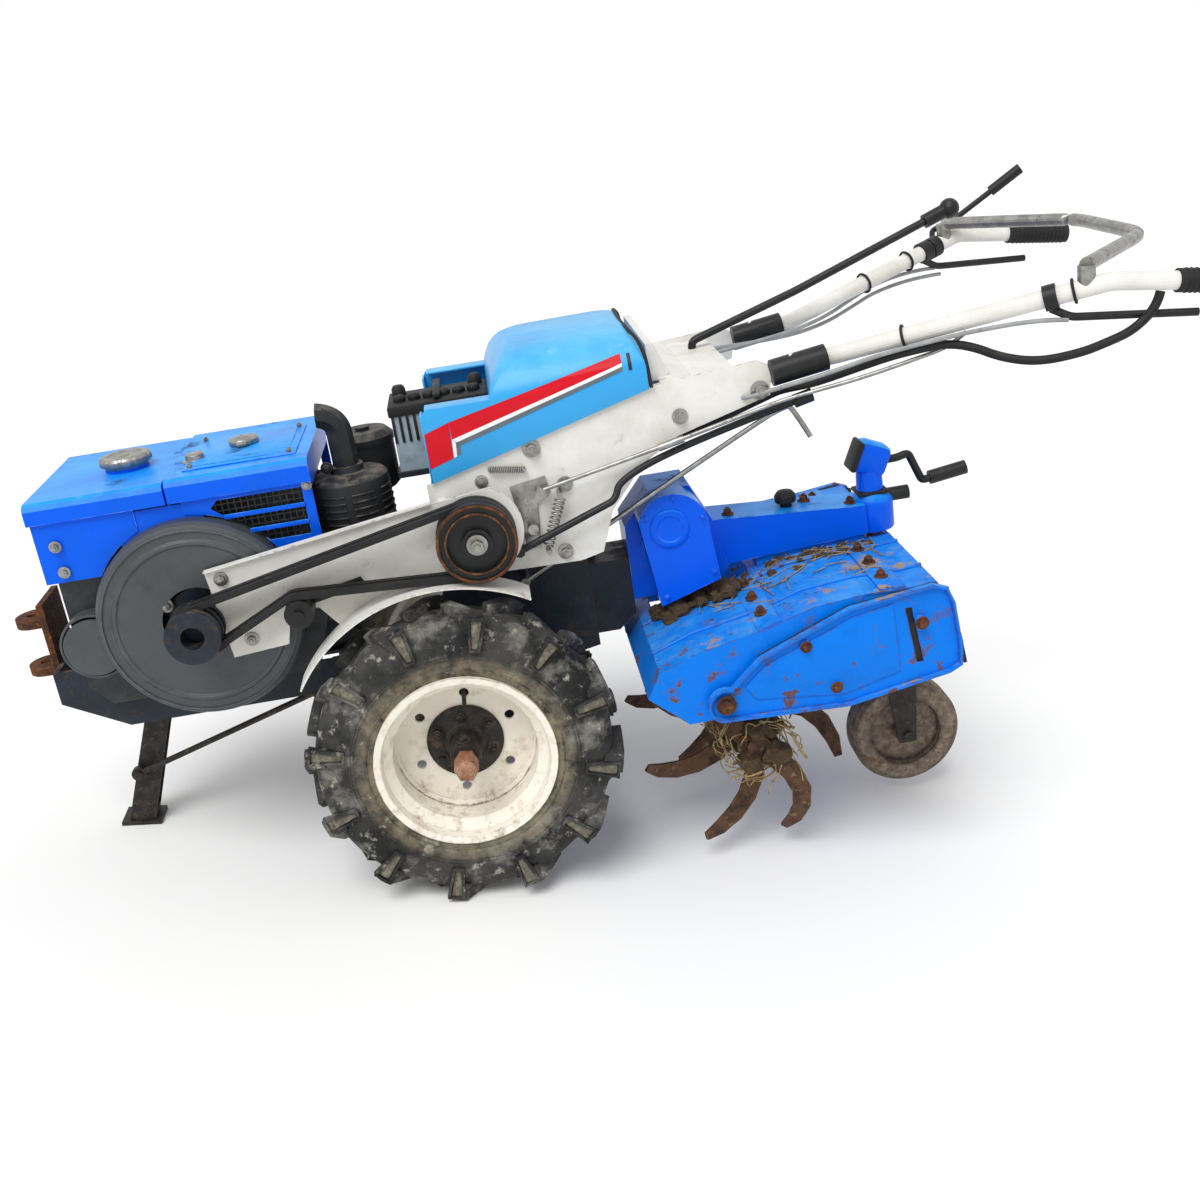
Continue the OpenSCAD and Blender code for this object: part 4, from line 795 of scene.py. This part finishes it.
# Raised panel on the radiator shell, shell screws, ring on the flywheel cover
shellLook = {"panel": ((312, 20, 563.4), (206, 226, 5)), "inner": ((312, 20, 565.4), (178, 196, 4)),
             "screws": [(222, 118), (402, 118), (222, -78), (402, -78)], "coverRing": (430, 306, 172, 214.6)}
settle([block(*shellLook["panel"], 2.4), block(*shellLook["inner"], 1.8)], "radiatorTopPanel", "chassis",
       "blueEnamel")
shellSpots = [(x, y, 565, 9, up) for x, y in shellLook["screws"]]
shellSpots += [(652, 178.5, 477, 13, out), (649, 178.5, 428, 13, out), (196, 174.5, 514, 11, out),
               (484, 200, 342, 15, out)]
boltsAt("shellScrews", shellSpots, "chassis", "dulledSteel")
cx, cz, cr, cy = shellLook["coverRing"]
ringAngles = [2 * math.pi * i / 96 for i in range(97)]
ringPoints = [(cx + cr * math.cos(a), cy, cz + cr * math.sin(a)) for a in ringAngles]
settle([wire(ringPoints, 1.8, smooth=False)], "coverRing", "chassis", "coverPaint")

# Battery: black ribbed lid, filler plugs, terminals with boots, clamp bar
batteryLook = {"lid": ((-55, 0, 594), (188, 132, 20)), "plugs": 6, "plugGap": 28.0,
               "plug": [(12, 0), (12, 8), (9, 12), (4, 13)], "bar": ((-55, -8, 612), (14, 140, 8))}
lidParts = [block(*batteryLook["lid"], 3)]
lidParts += [block((-142 + 13.4 * i, 63, 560), (5, 5, 50), 1.2) for i in range(14)]
for i in range(batteryLook["plugs"]):
    lidParts.append(stepped((-124 + batteryLook["plugGap"] * i, 20, 603), up, batteryLook["plug"], 16))
lidParts += [stepped((x, -36, 603), up, [(14, 0), (13, 14), (9, 20)], 20) for x in (-128, 18)]
lidParts += [block(*batteryLook["bar"], 2)]
settle(lidParts, "batteryLid", "chassis", "mouldedRubber")
print("engine top and battery done")

# Side plates: bolts, small tension spring on two pins, pulley nuts and rim, exhaust clamp bolt
plateLook = {"face": 182.3,
             "bolts": [(-210, 515.6, 19), (-260, 440.5, 17), (-112, 470, 14), (-632, 554, 20),
                       (-483, 530, 17), (-243, 313, 17), (-60, 440, 13)]}
for side, name, axis in ((1, "plateBolts", out), (-1, "plateBoltsRight", inward)):
    spots = [(x, side * plateLook["face"], z, size, axis) for x, z, size in plateLook["bolts"]]
    boltsAt(name, spots, "chassis", "dulledSteel")
spring = [coil((-129, 190, 491), (-192, 190, 481), 5.5, 1.1, 16)]
spring += [pin(-129, 491, 181, 195, 2.5), pin(-192, 481, 181, 195, 2.5)]
settle(spring, "smallSpring", "chassis", "dulledSteel")
pulleySpots = [(-88, 298, 391, 22, out), (243, 268, 312, 17, out), (372, 228, 384, 15, out),
               (344, 228, 262, 15, out)]
boltsAt("pulleyNuts", pulleySpots, "chassis", "dulledSteel")
settle([hoop((-88, 298, 391), out, 69, 3), hoop((-88, 297, 391), out, 55, 2)], "pulleyRim", "chassis",
       "scaledRust")
boltsAt("exhaustClampBolt", [(164, 104, 521, 13, out)], "chassis", "heatBlack")

# Handles: ribs moulded round the grips, cable ties round the tubes
handleLook = {"start": (-770, 179, 594), "end": (-1200, 372.5, 686.7), "grip": (-1437, 380.5, 653.7),
              "ribs": 13, "ribStep": 9.0, "tube": 17.0, "ties": {1: (130, 420), -1: (210, 330)}}
ribs, ties = [], []
for side in (1, -1):
    start, end, grip = (Vector(handleLook[key]) * Vector((1, side, 1)) for key in ("start", "end", "grip"))
    along, run = (grip - end).normalized(), (end - start).normalized()
    ribs += [hoop(grip - along * (6 + handleLook["ribStep"] * i), along, 19.6, 1.6)
             for i in range(handleLook["ribs"])]
    ties += [hoop(start + run * reach, run, handleLook["tube"] + 2.6, 2.6)
             for reach in handleLook["ties"][side]]
settle(ribs, "gripRibs", "chassis", "mouldedRubber")
settle(ties, "cableTies", "chassis", "mouldedRubber")
print("plates and handles done")

# Tiller: the line of the hood's top, from front to rear
hoodTop = [(-345, 52), (-372, 100), (-450, 128), (-580, 152), (-665, 178), (-760, 186), (-850, 184),
           (-892, 188)]


def hoodAt(x):
    for (xa, za), (xb, zb) in zip(hoodTop, hoodTop[1:]):
        if xb <= x <= xa:
            return za + (zb - za) * (x - xa) / (xb - xa), math.degrees(math.atan2(zb - za, xa - xb))
    return hoodTop[-1][1], 0.0


# Boss and screws on the chain case, straps, ribs and bolts on the hood, knob, rubber flap
tillerLook = {"boss": [(38, -1), (38, 3), (33, 5), (26, 5), (24, 3)], "straps": (-582, -812),
              "caseBolts": [30, 95, 165], "ribsAt": (86, 232), "face": 128, "caseCentre": (-452, 303),
              "caseRing": 59,
              "knob": [(12, 0), (12, 8), (21, 11), (22, 24), (15, 33), (6, 35)],
              "flap": ((-939, 0, 40), (7, 616, 62))}
settle([stepped((-445, 128, 304), out, tillerLook["boss"], 40)], "caseBoss", "chassis",
       "blueEnamel")
caseX, caseZ = tillerLook["caseCentre"]
face, ringR = tillerLook["face"], tillerLook["caseRing"]
caseScrews = []
for a in (math.radians(deg) for deg in tillerLook["caseBolts"]):
    caseScrews.append((caseX + ringR * math.cos(a), face, caseZ + ringR * math.sin(a), 7, out))
caseScrews += [(-520, face, 205, 7, out), (-424, face, 168, 7, out)]
boltsAt("caseScrews", caseScrews, "chassis", "blueEnamel")
caseSpots = [(-737, -20, 266, 15, up), (-575, 20, 278, 14, up), (-820, 22, 260, 14, up)]
hoodParts, hoodSpots = [], []
for x in tillerLook["straps"]:
    z, slope = hoodAt(x)
    for side in (1, -1):
        hoodParts.append(block((x, side * 190, z + 1.5), (48, 258, 5), 1.6, slope))
        hoodSpots += [(x + 4, side * y, z + 4, 15, up) for y in (102, 178, 258)]
for y in tillerLook["ribsAt"]:
    hoodParts += [wire([(x, side * y, z + 1) for x, z in hoodTop[1:]], 4.5, False) for side in (1, -1)]
settle(hoodParts, "hoodStraps", "chassis", "soiledEnamel")
boltsAt("tillerBolts", caseSpots + hoodSpots, "chassis", "scaledRust")
knob = stepped((-696, 0, 267), up, tillerLook["knob"], 24, 1.5)
settle([knob], "beamKnob", "chassis", "mouldedRubber")
settle([block(*tillerLook["flap"], 2, 8)], "rubberFlap", "chassis", "mouldedRubber")

# Hood sides: rubber strip out to the side panel, and the closed rear end behind it
hoodSideLook = {"strip": [(-553, 98), (-725, 166), (-880, 184), (-908, 172), (-920, 60)], "stripAt": 326,
                "rear": [(-750, 182), (-760, 183.5), (-850, 181.5), (-889, 185), (-911, 149), (-930, 62),
                         (-738, 62)], "rearAt": (314, 320)}
spacers, closers = [], []
for side in (1, -1):
    strip = [(x, side * hoodSideLook["stripAt"], z) for x, z in hoodSideLook["strip"]]
    spacers.append(wire(strip, 5.5, False))
    inner, outer = hoodSideLook["rearAt"]
    closers.append(sheet(hoodSideLook["rear"], side * inner, side * outer, 1))
settle(spacers, "panelSpacers", "chassis", "mouldedRubber")
settle(closers, "hoodRearSides", "chassis", "soiledEnamel")

# Depth column: round foot and tilted head, bored for the post, with its gaskets
columnLook = {"foot": (-868, 0, 196), "side": [(44, 0), (44, 58), (36, 70), (27, 78), (25, 128)],
              "head": ((-872, 0, 340), (72, 56, 66)), "cover": ((-842, 0, 350), (12, 60, 62)), "tiltDeg": -24,
              "seat": ((-868, 0, 273), (62, 62, 8)), "boreFoot": (-872, 0, 186), "bore": [(19, 0), (19, 166)]}
column = [stepped(columnLook["foot"], up, columnLook["side"], 40, 3)]
column.append(block(*columnLook["head"], 16, columnLook["tiltDeg"]))
gaskets = [block(*columnLook["cover"], 5, columnLook["tiltDeg"]), block(*columnLook["seat"], 3)]
bore = stepped(columnLook["boreFoot"], up, columnLook["bore"], 40, 0.4)
for part in column + gaskets[1:]:  # the post slides up in here
    modified(part, "BOOLEAN", object=bore, operation="DIFFERENCE", solver="EXACT")
bpy.data.objects.remove(bore)
settle(column, "columnHead", "chassis", "blueEnamel", "depth_column")
settle(gaskets, "columnGasket", "chassis", "mouldedRubber")

# Side panels: a black sheet behind each slot as painted shade, raised field, rusty bolts
panelLook = {"slot": [(-818, 162), (-850, 162), (-868, 28), (-836, 28)], "slotAt": (323, 329),
             "field": [(-522, 50), (-560, 84), (-728, 150), (-806, 164), (-812, 30), (-704, 2), (-540, 22)],
             "fieldAt": (332.5, 336.5),
             "bolts": [(-484, 338, 22, 22), (-853, 348, 123, 15), (-640, 338, 110, 13), (-690, 338, 20, 13)]}
fields, slotShadeSheets, panelSpots = [], [], []
for side in (1, -1):
    for parts, key in ((fields, "field"), (slotShadeSheets, "slot")):
        inner, outer = panelLook[key + "At"]
        parts.append(sheet(panelLook[key], side * inner, side * outer, 1.8 if key == "field" else 1))
    panelSpots += [(x, side * y, z, size, (0, side, 0)) for x, y, z, size in panelLook["bolts"]]
settle(slotShadeSheets, "slotShadeSheet", "chassis", "blackEnamel")
settle(fields, "panelFields", "chassis", "soiledEnamel")
boltsAt("panelBolts", panelSpots, "chassis", "scaledRust")
print("tiller done")

# Straw and dry soil: lying on the hood beside the beam, wound round the rotor
littered = random.Random(7)
litterLook = {"hoodStraws": 90, "hoodClods": 70, "rotorStraws": 280, "rotorClods": 70, "caseClods": 60}


def clod(centre, size, flat):
    bpy.ops.mesh.primitive_ico_sphere_add(subdivisions=2, radius=size * mm, location=Vector(centre) * mm)
    lump = bpy.context.object
    for vertex in lump.data.vertices:
        vertex.co *= littered.uniform(0.7, 1.2)
        vertex.co.z *= flat
    return lump


straws, clods = [], []
for i in range(litterLook["hoodStraws"]):
    x, y = littered.uniform(-850, -470), 52 + abs(littered.gauss(0, 60))
    turn, reach = littered.uniform(0, math.pi), littered.uniform(12, 34)
    ends = [(x + t * reach * math.cos(turn), y + t * reach * math.sin(turn)) for t in (-1, 0, 1)]
    straws.append(wire([(a, b, hoodAt(a)[0] + 2 + littered.uniform(0, 4)) for a, b in ends],
                       littered.uniform(0.7, 1.4)))
for i in range(litterLook["hoodClods"]):
    x, y = littered.uniform(-850, -440), 50 + abs(littered.gauss(0, 34))
    clods.append(clod((x, y, hoodAt(x)[0] + 1), littered.uniform(5, 13), 0.5))
for i in range(litterLook["caseClods"]):  # soil piled where the case meets the hood
    x, y = littered.uniform(-560, -400), littered.uniform(60, 132)
    clods.append(clod((x, y, hoodAt(x)[0] + littered.uniform(0, 14)), littered.uniform(9, 20), 0.7))
settle(straws, "hoodStraw", "chassis", "dryStraw")
settle(clods, "hoodSoil", "chassis", "dryMud")
straws, clods = [], []
for i in range(litterLook["rotorStraws"]):
    y, start = littered.choice((1, -1)) * littered.uniform(60, 285), littered.uniform(0, 2 * math.pi)
    reach = littered.uniform(36, 70)
    bend = littered.uniform(0.5, 1.4)
    arc = [(start + bend * t / 4, reach + t * littered.uniform(0, 11), y + t * littered.uniform(-5, 5))
           for t in range(5)]
    straws.append(wire([(rotorX + r * math.cos(a), w, rotorZ + r * math.sin(a)) for a, r, w in arc],
                       littered.uniform(0.8, 1.8)))
for i in range(litterLook["rotorClods"]):
    y, a = littered.choice((1, -1)) * littered.uniform(64, 270), littered.uniform(0, 2 * math.pi)
    clods.append(clod((rotorX + 36 * math.cos(a), y, rotorZ + 36 * math.sin(a)), littered.uniform(14, 30),
                      0.9))
settle(straws, "rotorStraw", "tiller_rotor", "dryStraw")
settle(clods, "rotorSoil", "tiller_rotor", "dryMud")
print("litter done")
bpy.data.objects.remove(boltMaster)

# Camera as in the reference view
cameraLook = {
    "fromAxle": (-0.003, 2.629, 1.450),  # metres from the axle's foot on the floor
    "yawDeg": 6.0,
    "pitchDeg": 20.4,
    "focalPx": 1400.0,  # in the 1200 px frame
}
bpy.ops.object.camera_add()
camera = bpy.context.object
yaw, tilt = math.radians(cameraLook["yawDeg"]), math.radians(cameraLook["pitchDeg"])
sight = Vector((-math.sin(yaw) * math.cos(tilt), -math.cos(yaw) * math.cos(tilt), -math.sin(tilt)))
camera.location = Vector((axlePoint.x, 0.0, 0.0)) + Vector(cameraLook["fromAxle"])
camera.rotation_euler = sight.to_track_quat("-Z", "Y").to_euler()
camera.data.sensor_width = 36.0
camera.data.lens = 36.0 * cameraLook["focalPx"] / 1200.0
bpy.context.scene.camera = camera

# Pale floor, one broad lamp from the camera's side, an even dome
stageLook = {"floorSize": 60.0, "floor": "#FBFBFA", "dome": 0.6, "lamp": 2.1, "spreadDeg": 35.0,
             "lampFrom": (0.5, 0.75, 1.15)}
bpy.ops.mesh.primitive_plane_add(size=stageLook["floorSize"], location=(0, 0, 0))
floor = bpy.context.object
floor.name = "studioFloor"
floorPaint = bpy.data.materials.new("paleStudioFloor")  # matt white paint: keeps only the shadow
floorPaint.use_nodes = True
floorPaint.node_tree.nodes["Principled BSDF"].inputs["Base Color"].default_value = linear(stageLook["floor"])
floorPaint.node_tree.nodes["Principled BSDF"].inputs["Roughness"].default_value = 0.9
floor.data.materials.append(floorPaint)
bpy.ops.object.light_add(type="SUN", location=(2, 3, 5))
lamp = bpy.context.object
lamp.name = "broadLamp"
lamp.data.energy = stageLook["lamp"]
lamp.data.angle = math.radians(stageLook["spreadDeg"])
lamp.rotation_euler = (-Vector(stageLook["lampFrom"])).to_track_quat("-Z", "Y").to_euler()
world = bpy.data.worlds.new("studioDome")
bpy.context.scene.world = world
world.use_nodes = True
skyTree = world.node_tree
skyTree.nodes.clear()
rays = addNode(skyTree, "ShaderNodeLightPath")
seen = addNode(skyTree, "ShaderNodeMath",
               {0: rays.outputs["Is Camera Ray"], 1: rays.outputs["Is Glossy Ray"]}, operation="MAXIMUM")
seen = addNode(skyTree, "ShaderNodeMath", {0: seen.outputs[0], 1: rays.outputs["Is Transmission Ray"]},
               operation="MAXIMUM")
lit = addNode(skyTree, "ShaderNodeBackground", {"Color": (1, 1, 1, 1), "Strength": stageLook["dome"]})
plain = addNode(skyTree, "ShaderNodeBackground", {"Color": (1, 1, 1, 1), "Strength": 1.0})
both = addNode(skyTree, "ShaderNodeMixShader", {0: seen.outputs[0], 1: lit.outputs[0], 2: plain.outputs[0]})
addNode(skyTree, "ShaderNodeOutputWorld", {"Surface": both.outputs[0]})
bpy.context.scene.view_settings.view_transform = "Standard"
print("camera, floor and light set")
